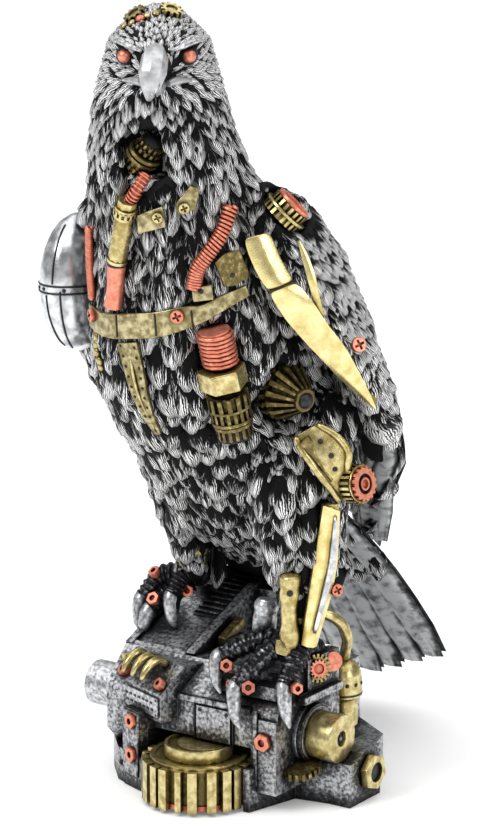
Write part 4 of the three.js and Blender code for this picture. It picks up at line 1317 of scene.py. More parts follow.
def torso(angle, z, lift=0.0, tree=None):
    """A place on the torso and the way it faces, from an angle in degrees and two sizes in millimetres."""
    turn = math.radians(angle)
    y, wide, deep = (float(np.interp(z, TORSO_Z, column)) for column in (TORSO_Y, TORSO_WIDE, TORSO_DEEP))
    out = Vector((math.cos(turn) / wide, math.sin(turn) / deep, 0)).normalized()
    edge = bird(wide * math.cos(turn), y + deep * math.sin(turn), z)
    hit, facing, _, _ = (tree or bed_tree).ray_cast(edge + out * RAY_START, -out)
    if hit is None:
        hit = edge
        facing = out
    return hit + facing * lift * MM, facing


def on_fitting(angle, z, lift=0.0):
    return torso(angle, z, lift, fitting_tree)


def route(places, lift):
    return [torso(angle, z, lift)[0] for angle, z in places]


def centre(node):
    points = [v.co for v in nodes[node].data.vertices]
    return sum(points, Vector()) / len(points)


def crisp_copy(node, width, paint="antique_brass", segments=2, angle=40):
    """A bevelled copy of a CAD node that stands in its place."""
    obj = solid_copy(node, node + "_crisp")
    bpy.ops.object.mode_set(mode="EDIT")
    bpy.ops.mesh.select_all(action="SELECT")
    bpy.ops.mesh.dissolve_limited(angle_limit=math.radians(4))
    done_editing()
    soften(obj, width, segments, 28)
    return finish(obj, paint, [node], angle)


print("throat hose starts at", [round(v, 3) for v in torso(-70.5, 201)[0]])

# %% [markdown]
# Straps, plates and rods. The belt across the breast, the two neck plates, the plate under the left hose,
# the keel blade and the brass rods of the leg are copies of their solids with bevelled edges. Their shape
# is right already, so only the edges need light.

# %% Straps, plates and rods
for label in ("neck_plate_front", "neck_plate_side", "shoulder_hose_fitting", "chest_belt", "keel_blade"):
    crisp_copy(label, 0.35, "strap_brass")
crisp_copy("chest_plate", 0.35, "dark_brass")
crisp_copy("shank_rod", 0.7, "bone_brass", segments=3, angle=50)
crisp_copy("thigh_link", 0.7, "dark_brass", segments=3, angle=50)
print("plates bevelled")

# %% [markdown]
# The brass bones on the wing are broad, slightly crowned plates: one at the shoulder, the long blade
# below it and a spur that grows out of the blade. Each is a grid between two edge lines. A subdivision
# smooths it, Solidify gives it thickness and a bevel breaks its edges. A thin black line marks the joint
# between the first two.

# %% Wing bones
PLATE_COLUMNS = 4
TO_FRONT = Vector((0.6, -0.75, 0.25))


def crowned_plate(name, edges, crown, thick):
    """A plate between two edge lines of bird millimetres, raised along its middle, its thickness inwards."""
    left = [bird(*place) for place in edges[0]]
    right = [bird(*place) for place in edges[1]]
    last = len(left) - 1
    bpy.ops.object.select_all(action="DESELECT")
    bpy.ops.mesh.primitive_grid_add(x_subdivisions=PLATE_COLUMNS, y_subdivisions=last, size=2)
    plate = bpy.context.object
    plate.name = name
    for vertex in plate.data.vertices:
        row = round((vertex.co.y + 1) / 2 * last)
        share = (vertex.co.x + 1) / 2
        across = right[row] - left[row]
        run = left[min(row + 1, last)] - left[max(row - 1, 0)]
        out = run.cross(across).normalized()
        rise = crown * MM * (1 - (2 * share - 1) ** 2) * min(1.0, across.length / (5 * MM))
        vertex.co = left[row] + across * share + out * math.copysign(rise, out.dot(TO_FRONT))
    apply_modifier(plate, "SUBSURF", levels=2, render_levels=2)
    faces_front = sum(face.normal.dot(TO_FRONT) * face.area for face in plate.data.polygons) > 0
    apply_modifier(plate, "SOLIDIFY", thickness=thick * MM, offset=-1 if faces_front else 1)
    bpy.ops.object.mode_set(mode="EDIT")
    bpy.ops.mesh.select_all(action="SELECT")
    bpy.ops.mesh.normals_make_consistent(inside=False)
    done_editing()
    return soften(plate, 0.4, 2, 50)


PLATE_SIZES = {"wing_bone_cup": (1.2, 4.6), "wing_bone_blade": (1.0, 4.2), "wing_bone_spur": (0.5, 2.0)}
for label, (crown, thick) in PLATE_SIZES.items():
    finish(crowned_plate(label + "_plate", WING_PLATES[label], crown, thick), "bone_brass", [label], 45)
crack = []
for share, rise in ((0.0, 0.5), (0.25, 1.2), (0.5, 1.5), (0.75, 1.2), (1.0, 0.5)):
    joint = bird(36.9, -30.6, 167.4).lerp(bird(42.4, -24.6, 170.4), share)
    crack.append(joint + TO_FRONT.normalized() * rise * MM)
bone_crack = rod("bone_crack", smooth_path(crack, 12), [0.5, 0.3, 0.26, 0.34, 0.55], 6)
finish(bone_crack, "black_recess", ["wing_bone_blade"])
print("wing bones", len(PLATE_SIZES))

# %% [markdown]
# The leg link between hip and knee has a cover plate, made as the wing bones are. A round rail runs along
# each edge, and three black holes lie down its middle.

# %% Leg link
LINK_LEFT = [
    (40, -20.6, 121.5), (42.2, -20.3, 117.7), (44.7, -19.2, 113.9), (47, -17.7, 109.9), (49.3, -15.5, 105.8),
    (51.6, -13.4, 101.3),
]
LINK_RIGHT = [
    (44.5, -15.4, 125), (49.9, -13, 121.7), (53.2, -11.2, 117), (53.2, -11.3, 112.6), (53, -10.8, 108.2),
    (53.4, -10, 103.3),
]
finish(crowned_plate("link_plate", (LINK_LEFT, LINK_RIGHT), 0.5, 3.2), "antique_brass", ["thigh_link"], 45)
rails = []
for edge in (LINK_LEFT, LINK_RIGHT):
    rail_path = smooth_path([bird(*place) for place in edge], 18)
    rails.append(rod("link_rail", rail_path, [0.9, 1.2, 1.2, 0.9], 10))
finish(merge("link_rails", rails), "antique_brass", ["thigh_link"])
holes = []
for row in (1, 2, 3):
    middle = bird(*LINK_LEFT[row]).lerp(bird(*LINK_RIGHT[row]), 0.55)
    holes.append(rivet("link_hole", 0.8, 0.35, middle + TO_FRONT * 0.5 * MM, TO_FRONT))
finish(merge("link_holes", holes), "black_recess", ["thigh_link"])
print("leg link with", len(holes), "holes")

# %% [markdown]
# The screws on the plates: brass ones in the neck plates, copper ones in the belt, the wing and the shank.
# Each is stood on its plate, facing as the plate does there.

# %% Screws on the plates
brass_screws = []
for angle, z, radius in ((-66.4, 191, 1.7), (-49.9, 193.8, 1.7)):
    brass_screws.append(screw("plate_screw", radius, *on_fitting(angle, z, 0.1)))
finish(merge("neck_plate_screws", brass_screws), "antique_brass", ["eagle"], 40)
copper_screws = [screw("belt_screw", 2.1, *on_fitting(-65.4, 160.4, 0.1))]
copper_screws.append(screw("wing_screw", 2.4, bird(54, -7.2, 149.4), Vector((0.8, -0.55, 0.25))))
copper_screws.append(screw("belt_end_screw", 2.1, *on_fitting(-122, 156.6, 0.1)))
copper_screws.append(screw("shank_screw", 2.0, bird(47.6, -8.6, 71.2), Vector((0.85, -0.5, 0.1))))
finish(merge("copper_screws", copper_screws), "copper_rose", ["eagle"], 40)
print("screws", len(brass_screws) + len(copper_screws))

# %% [markdown]
# The belt is made of lengths with a dark seam between them. The keel blade below it has a row of holes
# along each edge and a ridge down its middle. Its angles, heights and widths are a short table, so the
# holes keep to its edges as it narrows.

# %% Seams, holes and keel ridge
seams = []
for angle, z in ((-76.9, 157.4), (-58.4, 160.6), (-100, 155.4)):
    ends = [on_fitting(angle, z + rise, 0.05)[0] for rise in (3.4, 1.2, -1.2, -3.4)]
    seams.append(rod("seam", smooth_path(ends, 8), [0.26, 0.26], 6))
KEEL = [(-94, 151, 8), (-91.6, 143, 7.4), (-90, 133.7, 6), (-87.6, 121.7, 2.4)]
keel_z = [row[1] for row in KEEL][::-1]
for z in np.linspace(149.5, 127, 8):
    angle, wide = (float(np.interp(z, keel_z, [row[i] for row in KEEL][::-1])) for i in (0, 2))
    for side in (1, -1):
        aside = side * math.degrees((wide / 2 - 1.2) / 37)
        seams.append(rivet("keel_hole", 0.5, 0.25, *on_fitting(angle + aside, z)))
for angle, z in ((-52.6, 168.4), (-35.4, 172.6)):
    seams.append(rivet("fitting_hole", 0.8, 0.3, *on_fitting(angle, z)))
finish(merge("plate_seams", seams), "black_recess", ["eagle"])
ridge = [on_fitting(angle, z, 0.1)[0] for angle, z, _ in KEEL]
finish(rod("keel_ridge", smooth_path(ridge, 16), [0.5, 0.5, 0.3], 8), "antique_brass", ["eagle"])
print("seams and holes", len(seams))

# %% [markdown]
# Spiral hoses: a wire wound round the path of the hose, over a thinner core. The throat has a short one.
# The left shoulder has a long one that snakes down to its fitting.

# %% Hoses
def hose(name, path, radius, turns, wire, replaced):
    core = rod(name, smooth_path(path, 24), [radius - wire, radius - wire], 12)
    spiral = rod(name + "_wire", wound(path, radius - wire * 0.6, turns, 12), [wire, wire], 6)
    return finish(merge(name, [core, spiral]), "copper_rose", replaced)


hose("throat_spiral", route([(-70.5, 201), (-77, 198.6), (-83.6, 194.8)], 3), 2.0, 10, 0.4, ["throat_hose"])
SHOULDER_HOSE = [(-19, 193.4), (-32.7, 185.7), (-45, 179.8), (-53, 174.3), (-55, 169.4)]
hose("shoulder_spiral", route(SHOULDER_HOSE, 3), 2.3, 26, 0.55, ["shoulder_hose"])
print("shoulder hose through", len(SHOULDER_HOSE), "places")

# %% [markdown]
# The throat hose ends in a brass sleeve with a knurled grip, and a copper pipe goes on below it. The
# knurl is a rod on which every second point, as on a chessboard, is pushed out. Turned rings and a nut
# make the collar.

# %% Sleeve and pipe
SLEEVE = [(-85.2, 194.6), (-88.5, 190), (-92, 184), (-97.4, 175.8)]
sleeve_path = smooth_path(route(SLEEVE, 3.3), 28)
KNURL_SIDES = 22
sleeve = rod("throat_sleeve_knurled", sleeve_path[8:], [2.75, 2.75], KNURL_SIDES)
only(sleeve)
bpy.ops.object.mode_set(mode="EDIT")
bpy.ops.mesh.select_mode(type="VERT")
bpy.ops.mesh.select_all(action="DESELECT")
done_editing()
for vertex in sleeve.data.vertices:
    vertex.select = (vertex.index // KNURL_SIDES + vertex.index % KNURL_SIDES) % 2 == 0
bpy.ops.object.mode_set(mode="EDIT")
bpy.ops.transform.shrink_fatten(value=0.28 * MM)
done_editing()
down = (sleeve_path[8] - sleeve_path[0]).normalized()
collar = [
    drum("collar", 3.5, -0.7, 0.7),
    gear("collar_teeth", 3.7, 14, 0.6, -0.9, 0.9),
    drum("collar_low", 3.4, -0.5, 0.5),
    soften(drum("collar_nut", 3.1, -3.2, -0.7, 8), 0.25),
]
for piece, step in zip(collar, (1, 3, 6, 1)):
    stand(piece, sleeve_path[step], down)
collar.append(drum("sleeve_end", 3.2, -0.5, 0.5))
stand(collar[-1], sleeve_path[26], (sleeve_path[27] - sleeve_path[24]))
finish(merge("throat_sleeve_turned", [sleeve, *collar]), "antique_brass", ["throat_sleeve"], 35)
pipe_path = smooth_path(route([(-97.6, 175.4), (-100.5, 168), (-102.6, 161.4)], 3.2), 14)
pipe = rod("throat_pipe_round", pipe_path, [3.0, 2.7, 2.7, 2.7, 3.0], 20)
finish(pipe, "copper_rose", ["throat_pipe"], 40)
ring = stand(drum("sleeve_ring", 3.1, -0.5, 0.5), pipe_path[0], pipe_path[1] - pipe_path[0])
finish(ring, "black_recess", ["throat_sleeve"], 40)
print("sleeve with", len(collar), "rings")

# %% [markdown]
# The throat cavity shows the end of a clockwork train: a drum with rows of small teeth, and two plain
# rims round its middle. It is a stack of gears on one tilted axle.

# %% Throat clockwork
axle = (bird(9, -57, 214.5) - bird(-1, -56, 203)).normalized()
train_middle = centre("throat_gear")
train = []
for place, radius in ((-6.4, 3.6), (-4.5, 4.0), (-2.6, 4.4), (2.7, 4.4), (4.6, 4.0)):
    wheel = gear("train_wheel", radius, 14, 0.9, -0.65, 0.65)
    train.append(stand(wheel, train_middle + axle * place * MM, axle, place))
for place in (-0.9, 0.9):
    rim = sink_cap(drum("train_rim", 5.4, -0.55, 0.55, 28), 0.8, 0.3)
    train.append(stand(rim, train_middle + axle * place * MM, axle))
finish(merge("throat_train", train), "dark_brass", ["throat_gear"], 35)
# A black barrel inside the wheels shows between them as painted shade.
barrel = stand(drum("throat_shade_barrel", 2.9, -7.4, 6, 20), train_middle, axle)
finish(barrel, "black_recess", ["throat_gear"], 40)
print("throat clockwork", len(train), "wheels")

# %% [markdown]
# The plug on the breast is a copper coil screwed into a brass hexagon nut, over a body with three rows of
# teeth. All of it stands on one axis, taken from the CAD pieces.

# %% Plug
plug_axis = (centre("plug_coil") - centre("plug_body")).normalized()
coil_middle = centre("plug_coil")
coil_path = [coil_middle + plug_axis * h * MM for h in (-5.6, 0, 5.2)]
hose("plug_spiral", coil_path, 5.5, 8, 0.72, ["plug_coil"])
coil_cap = stand(soften(drum("plug_coil_cap", 4.9, -0.4, 0.8, 28), 0.4), coil_path[2], plug_axis)
finish(coil_cap, "copper_rose", ["plug_coil"], 40)
hexagon = soften(drum("plug_hexagon", 7.6, -3.2, 3.2, 6), 0.45, 3, 30)
stand(hexagon, centre("plug_nut"), plug_axis, 0.35)
finish(hexagon, "antique_brass", ["plug_nut"], 40)
body_middle = centre("plug_body")
rows = [
    gear("plug_row", 6.6, 14, 1.1, 3.4, 7.6), drum("plug_flange", 6.5, 2.6, 3.3, 28),
    gear("plug_row", 6.3, 18, 0.9, -0.6, 2.5), drum("plug_flange", 6.5, -1.7, -0.7, 28),
    drum("plug_flange", 6.1, -3.2, -2.2, 28), gear("plug_row", 5.6, 16, 0.8, -6.6, -3.3),
]
for row in rows:
    stand(row, body_middle, plug_axis)
finish(merge("plug_rows", rows), "dark_brass", ["plug_body"], 35)
# A black core shows between the rows of teeth: painted shade in the gaps.
plug_shade_core = stand(drum("plug_shade_core", 5.2, -7.4, 7.6, 28), body_middle, plug_axis)
finish(plug_shade_core, "black_recess", ["plug_body"], 40)
print("plug along", [round(v, 2) for v in plug_axis])

# %% [markdown]
# The hip: in a black bowl sits a bevel gear with long teeth that run to a small ring, and behind it a
# toothed ring on a black barrel. A bevel gear is a plain gear whose upper end is drawn together in edit
# mode. The gear stands a little further out than its solid does, so that it shows in the bowl.

# %% Hip gears
hip_axis = (centre("hip_gear_hub") - centre("hip_bevel_gear")).normalized()
HIP_SHIFT = Vector((2.6, 1.7, 1.8)) * MM
hip_middle = centre("hip_bevel_gear") + HIP_SHIFT
bevel = gear("bevel_gear", 8.9, 15, 2.1, -3.2, 4.6)
bpy.ops.object.mode_set(mode="EDIT")
bpy.ops.mesh.select_mode(type="VERT")
select_where(bevel.data, lambda co: co.z > 4 * MM)
bpy.ops.transform.resize(value=(0.46, 0.46, 1), center_override=(0, 0, 0))
done_editing()
stand(bevel, hip_middle, hip_axis)
hub_ring = stand(soften(drum("bevel_hub", 3.7, 3.8, 5.6, 24), 0.3), hip_middle, hip_axis)
back_ring = stand(gear("hip_ring", 9.2, 18, 1.6, -7.4, -5), hip_middle, hip_axis)
finish(merge("hip_bevel", [bevel, hub_ring]), "dark_brass", ["hip_bevel_gear"], 35)
finish(back_ring, "dark_brass", ["hip_bevel_gear"], 35)
hip_hub = rivet("hip_hub_dome", 2.6, 1.7, hip_middle + hip_axis * 5.6 * MM, hip_axis)
hip_barrel = stand(drum("hip_barrel", 4.6, -8, 2, 24), hip_middle, hip_axis)
finish(merge("hip_hub", [hip_hub, hip_barrel]), "black_recess", ["hip_gear_hub"], 50)
print("hip gear faces", [round(v, 2) for v in hip_axis])

# %% [markdown]
# The shoulder carries a stack of rings: a low toothed wheel, a flange, a second wheel and a copper cap
# with a sunk face.

# %% Shoulder gear
SHOULDER_AXIS = Vector((0.6, 0.38, 0.7))
shoulder = centre("shoulder_gear")
shoulder_rings = [
    gear("shoulder_low", 6.9, 22, 0.8, -3.4, -1.2),
    soften(drum("shoulder_flange", 7.5, -1.1, -0.2, 36), 0.2),
    gear("shoulder_wheel", 6.3, 20, 0.9, -0.1, 2.2), drum("shoulder_core", 5.2, -3.4, 2.2, 28),
]
for piece in shoulder_rings:
    stand(piece, shoulder, SHOULDER_AXIS)
finish(merge("shoulder_rings", shoulder_rings), "antique_brass", ["shoulder_gear"], 35)
cap = soften(sink_cap(drum("shoulder_cap", 5.9, 2.2, 3.4, 32), 1.3, 0.8), 0.25)
finish(stand(cap, shoulder, SHOULDER_AXIS), "copper_rose", ["shoulder_gear_cap"], 40)
print("shoulder rings", len(shoulder_rings))

# %% [markdown]
# The knee has the same kind of stack on an axle of its own: a toothed wheel, a flange and a toothed copper
# face with a button in a dark ring, which is painted shade. It sits a little further out than its solid,
# clear of the leg link.

# %% Knee gear
KNEE_AXIS = Vector((0.97, -0.12, 0.16))
KNEE_SHIFT = Vector((1.6, 1, 1.7)) * MM
knee = centre("knee_gear_ring") + KNEE_SHIFT
knee_rings = [
    drum("knee_axle", 3.6, -4, 3, 24),
    gear("knee_wheel", 6.3, 22, 0.9, 0.6, 4.2),
    soften(drum("knee_flange", 6.0, 4.2, 4.8, 36), 0.2),
]
for piece in knee_rings:
    stand(piece, knee, KNEE_AXIS)
finish(merge("knee_rings", knee_rings), "antique_brass", ["knee_gear_ring"], 35)
knee_face = soften(sink_cap(gear("knee_face", 5.4, 16, 0.5, 4.4, 5.9), 1.7, 0.9), 0.15)
knee_button = soften(sink_cap(drum("knee_button", 2.1, 4.6, 6, 20), 0.7, 0.7), 0.15)
for piece in (knee_face, knee_button):
    stand(piece, knee, KNEE_AXIS)
finish(merge("knee_copper", [knee_face, knee_button]), "copper_rose", ["knee_gear"], 35)
# A black ring at the floor of the sunk face, round the button: painted shade.
knee_shade_ring = stand(drum("knee_shade_ring", 3.3, 4.4, 5.15, 28), knee, KNEE_AXIS)
finish(knee_shade_ring, "black_recess", ["knee_gear"], 40)
print("knee rings", len(knee_rings))

# %% [markdown]
# The left leg's rods. A silver strip runs down the brass shank, the piston has collars and an eyelet at
# its top, and the cylinder is turned with rings.

# %% Leg rods
strip = smooth_path([bird(49.6, -12.4, 96), bird(48.6, -13, 80), bird(43.4, -14.4, 58)], 16)
finish(rod("shank_strip", strip, [0.5, 1.1, 1.1, 0.6], 10), "bright_silver", ["shank_rod"])
piston_path = smooth_path([bird(36, -17, 75.4), bird(35.5, -17, 65), bird(35, -15.5, 53)], 24)
piston_radii = [3.3, 3.3, 2.9, 3.2, 2.9, 2.5, 2.5, 2.5, 2.5, 3.2, 3.2, 2.6]
piston = rod("piston_turned", piston_path, piston_radii, 18)
eyelet = rivet("piston_eyelet", 3.3, 1.6, piston_path[0], piston_path[0] - piston_path[1])
finish(merge("piston", [piston, eyelet]), "antique_brass", ["shank_piston"], 40)
piston_hole = rivet("piston_hole", 1.0, 0.4, bird(37.6, -19.6, 71), Vector((0.5, -0.85, 0)))
finish(piston_hole, "black_recess", ["shank_piston"])
elbow = soften(drum("ankle_nut", 4.6, -2.2, 2.2, 6), 0.3)
stand(elbow, bird(33.2, -14.2, 51.6), Vector((0.1, 0.2, 1)))
finish(elbow, "antique_brass", ["eagle"], 40)
cylinder_path = smooth_path([bird(20.5, -6.5, 63.4), bird(20, -7.5, 55), bird(19.8, -9, 45.5)], 24)
cylinder_radii = [3.0, 4.0, 4.0, 3.6, 3.9, 3.9, 3.9, 3.6, 4.1, 4.1, 3.4, 3.4]
cylinder = rod("shank_cylinder_turned", cylinder_path, cylinder_radii, 20)
finish(cylinder, "edge_silver", ["shank_cylinder"], 40)
print("leg rods")

# %% [markdown]
# The right wing is an armoured dome of bright silver. The CAD ellipsoid is subdivided into a smooth
# shell, its panel seams are thin dark lines laid on it, a copper rope runs down its front edge and a
# brass chain below it.

# %% Armour
armour = solid_copy("right_wing_armour", "armour_dome")
apply_modifier(armour, "SUBSURF", levels=2, render_levels=2)
finish(armour, "bright_silver", ["right_wing_armour"])
armour_tree = BVHTree.FromObject(armour, bpy.context.evaluated_depsgraph_get())
ARMOUR_MIDDLE = (-42, -20, 161)


def on_armour(turn, rise, lift=0.05):
    """A place on the dome, from a turn round it and a rise above its middle in degrees."""
    a = math.radians(turn)
    b = math.radians(rise)
    level = math.cos(b)
    out = Vector((math.cos(a) * level * 0.5, math.sin(a) * level * 0.7, math.sin(b))).normalized()
    hit, facing, _, _ = armour_tree.ray_cast(bird(*ARMOUR_MIDDLE) + out * 60 * MM, -out)
    if hit is None:
        hit, facing, _, _ = armour_tree.find_nearest(bird(*ARMOUR_MIDDLE) + out * 20 * MM)
    return hit + facing * lift * MM, facing


SEAMS = [
    [(turn, 2) for turn in range(-200, -30, 12)], [(turn, -4) for turn in range(-200, -30, 12)],
    [(-72, rise) for rise in range(-66, 0, 8)], [(-98, rise) for rise in range(-62, 0, 8)],
    [(-85, rise) for rise in range(4, 64, 8)],
]
lines = []
for seam in SEAMS:
    lines.append(rod("armour_seam", smooth_path([on_armour(*spot)[0] for spot in seam], 40), [0.3, 0.3], 6))
for turn in (-66, -104, -122):
    lines.append(rivet("armour_rivet", 0.6, 0.4, *on_armour(turn, -1)))
finish(merge("armour_seams", lines), "black_recess", ["right_wing_armour"])
ROPE = [(-128.6, 184), (-128.6, 172), (-128.3, 161)]
strands = []
for radius in (0.7, -0.7):
    strands.append(rod("rope_strand", wound(route(ROPE, 2.2), radius, 16, 10), [0.85, 0.85], 6))
finish(merge("armour_rope", strands), "copper_rose", ["eagle"])
links = []
for z in np.linspace(151.5, 134, 8):
    links.append(rivet("chain_link", 1.7, 1.2, *torso(-127.4, z, 1.2)))
finish(merge("armour_chain", links), "antique_brass", ["eagle"])
print("armour with", len(SEAMS), "seams")

# %% [markdown]
# On the crown lies a broken circlet of small brass wheels and beads with one copper bead.

# %% Crown
circlet = []
for label in ("crown_gear_front", "crown_gear_top"):
    place, facing, _, _ = bed_tree.find_nearest(centre(label))
    wheel = sink_cap(gear("circlet_wheel", 3.6, 11, 0.9, -0.8, 0.7), 0.9, 0.5)
    circlet.append(stand(wheel, place + facing * 0.9 * MM, facing))
finish(merge("circlet_wheels", circlet), "antique_brass", ["crown_gear_front", "crown_gear_top"], 35)
BEADS = [(-11, 8.4, 247.6), (-8.6, 9.8, 249), (-3.4, 9.4, 251.2), (-0.6, 8.6, 252), (2.2, 7.2, 252.6)]
beads = []
for side, forward, z in BEADS:
    place, facing, _, _ = bed_tree.find_nearest(head(side, forward, z))
    beads.append(rivet("circlet_bead", 1.25, 0.9, place + facing * 0.6 * MM, facing))
finish(merge("circlet_beads", beads), "antique_brass", ["eagle"])
place, facing, _, _ = bed_tree.find_nearest(head(-6, 10, 250))
finish(rivet("circlet_copper", 1.5, 1.1, place + facing * 0.6 * MM, facing), "copper_rose", ["eagle"])
print("circlet")

# %% [markdown]
# The feet grip the engine. Each toe is a rod whose radius swells and shrinks along it, which gives the
# ribs of an armoured hose. A smooth silver talon hooks down from its end. Copper nuts hold the knuckles.

# %% Toes and talons
LEFT_TOES = [
    [(33, -9, 52), (22, -13.5, 51.7), (12.6, -20.3, 46.7), (14.8, -24.4, 35.8)],
    [(34, -10, 53), (28, -17, 49.7), (22.4, -26, 40.2), (25.6, -29.7, 27.4)],
    [(35, -9, 52), (36.6, -15, 48.2), (36.3, -20, 41.2), (39.6, -22.5, 28.4)],
    [(34, -7, 51), (32, 2, 47), (31, 8, 42.6), (31, 12, 37)],
]
RIGHT_TOES = [
    [(-18.5, 7.5, 62.5), (-27.5, 4, 60.7), (-32, -0.5, 54.2), (-30.5, -4.2, 43.4)],
    [(-18.5, 7, 60), (-24.5, 2.5, 55.7), (-28, -2, 51.2), (-28, -5.2, 42.9)],
    [(-18, 7, 62), (-19.8, 4, 60.7), (-21, 0.4, 56.2), (-18.4, -1.2, 45.4)],
    [(-18.5, 8, 62), (-19.5, 13, 60.7), (-21.5, 18, 58.7), (-23.5, 21.5, 56.5)],
]
TOE_RIBS = 9
STATIONS = 6 * TOE_RIBS + 1
toes = []
talons = []
for places in LEFT_TOES + RIGHT_TOES:
    a, b, c, d = (bird(*place) for place in places)
    swell = np.interp(np.linspace(0, 1, STATIONS), [0, 0.5, 1], [3.7, 3.7, 2.9])
    ripple = 1 + 0.1 * np.cos(2 * math.pi * np.arange(STATIONS) / 6)
    toes.append(rod("toe", smooth_path([a, b, c], STATIONS), [float(r) for r in swell * ripple], 16))
    bow = (c - b).normalized()
    hook = [c - bow * 2.6 * MM, c + bow * 1.4 * MM, c.lerp(d, 0.55) + bow * 1.8 * MM, d]
    talons.append(rod("talon", smooth_path(hook, 18), [2.5, 2.7, 1.9, 0.4], 14))
finish(merge("toes", toes), "toe_silver", ["eagle"])
finish(merge("talons", talons), "edge_silver", ["eagle"])
print("toes", len(toes))

# %% [markdown]
# A copper nut is a six-sided drum with a bore. It is made once for each place and turned to face
# outwards.

# %% Knuckle nuts and ankle rings
KNUCKLES = [
    ((15.6, -21.8, 44.4), (0.3, -0.85, 0.3), 2.2),
    ((26, -25.4, 40), (0.5, -0.8, 0.3), 2.3),
    ((20, -25.6, 40), (-0.5, -0.8, 0.2), 1.6),
    ((40.2, -20, 41), (0.85, -0.5, 0.1), 2.0),
    ((-28.4, 1, 62.4), (-0.2, -0.6, 0.75), 2.1),
    ((-26.4, -2.6, 54.6), (0, -0.8, 0.6), 2.3),
    ((-17.4, 3.4, 57.6), (0.5, -0.8, 0.2), 2.1),
]
knuckles = []
for place, axis, radius in KNUCKLES:
    knuckles.append(stand(nut("knuckle", radius, -0.8, 1.5, radius * 0.45), bird(*place), Vector(axis)))
finish(merge("knuckle_nuts", knuckles), "copper_rose", ["eagle"], 35)
ANKLES = [(-17.8, 6.8, 71, 5.5), (-18.2, 7.2, 67, 5.0), (33.9, -7.6, 60, 5.2)]
ankles = []
for x, y, z, radius in ANKLES:
    ring = soften(drum("ankle_ring", radius, -1.2, 1.2, 28), 0.4)
    ankles.append(stand(ring, bird(x, y, z), Vector((0, 0, 1))))
finish(merge("ankle_rings", ankles), "antique_brass", ["eagle"], 40)
print("knuckle nuts", len(knuckles))

# %% [markdown]
# The plinth keeps its CAD casting. Its faces are joined where they are flat and its edges bevelled, and
# the bevel gets a material of its own, because the dry brush always catches the edges of a casting first.

# %% Plinth casting
casting = solid_copy("plinth", "plinth_casting")
bpy.ops.object.mode_set(mode="EDIT")
bpy.ops.mesh.select_all(action="SELECT")
bpy.ops.mesh.dissolve_limited(angle_limit=math.radians(2))
done_editing()
finish(casting, "aged_silver", ["plinth"])
casting.data.materials.append(edge_silver)
CASTING_LIMIT = math.radians(25)
apply_modifier(
    casting, "BEVEL", width=0.6 * MM, segments=2, limit_method="ANGLE", angle_limit=CASTING_LIMIT, material=1
)
shade(casting, 30)
print("casting", len(casting.data.polygons), "faces")

# %% [markdown]
# Blocks and bars are cubes stretched to size in a frame of their own, so that a bar on the sloping slab
# or on the turned gearbox is written in that part's own millimetres.

# %% Frames and blocks
def block(name, low, high, frame_matrix, edge=0.3):
    bpy.ops.object.select_all(action="DESELECT")
    bpy.ops.mesh.primitive_cube_add(size=1)
    obj = bpy.context.object
    obj.name = name
    near = Vector(low) * MM
    far = Vector(high) * MM
    obj.data.transform(Matrix.Translation((near + far) / 2) @ Matrix.Diagonal((*(far - near), 1)))
    if edge:
        soften(obj, edge)
    obj.data.transform(frame_matrix)
    return obj


def along_axis(place, axis, spin=0.0):
    turn = Vector(axis).to_track_quat("Z", "Y").to_matrix().to_4x4()
    return Matrix.Translation(bird(*place)) @ turn @ Matrix.Rotation(spin, 4, "Z")


BIRD = Matrix.Translation(bird(0, 0, 0))
SLAB = Matrix.Translation(bird(-17, -12, 41.5)) @ Matrix.Rotation(math.radians(22), 4, "X")
GEARBOX = Matrix.Translation(bird(-17, -25.2, 0)) @ Matrix.Rotation(math.radians(-21), 4, "Z")
print("frames for the slab and the gearbox")

# %% [markdown]
# The vent slab under the right foot: a bar along each side, a row of dark slots between thin ribs, a
# framed plate on its front and ring-shaped rivets on the right bar.

# %% Vent slab
bars = [
    block("slab_bar", (10.2, -0.6, -7.4), (13.8, 46.6, 1.7), SLAB, 0.5),
    block("slab_bar", (-13.8, -0.6, -7.4), (-10.8, 46.6, 1.2), SLAB, 0.5),
    block("slab_lip", (-11, -0.7, -3), (10.4, 1.6, 0.9), SLAB, 0.4),
    block("slab_plate", (-10.6, -1.3, -7), (10, -0.2, -1.2), SLAB, 0.4),
]
slots = []
for k in range(9):
    y = 19.6 + 2.6 * k
    slots.append(block("vent", (0, y, -0.3), (8.8, y + 1.5, 0.3), SLAB, 0))
    bars.append(block("vent_rib", (-0.4, y + 1.6, -0.4), (9.2, y + 2.5, 0.8), SLAB, 0.15))
for y in (5, 39):
    ring = sink_cap(drum("bar_rivet", 1.25, -0.4, 0.45, 18), 0.4, 0.3)
    place = Matrix.Translation((0.0138, y * MM, -0.003)) @ Matrix.Rotation(math.pi / 2, 4, "Y")
    ring.data.transform(SLAB @ place)
    bars.append(ring)
finish(merge("slab_bars", bars), "aged_silver", ["plinth"], 40)
finish(merge("slab_slots", slots), "black_recess", ["plinth"], 40)
print("slab bars", len(bars))

# %% [markdown]
# The gearbox at the front left has a plate with two rows of plain dashes, three brass hooks over its
# hood and brass bands below.

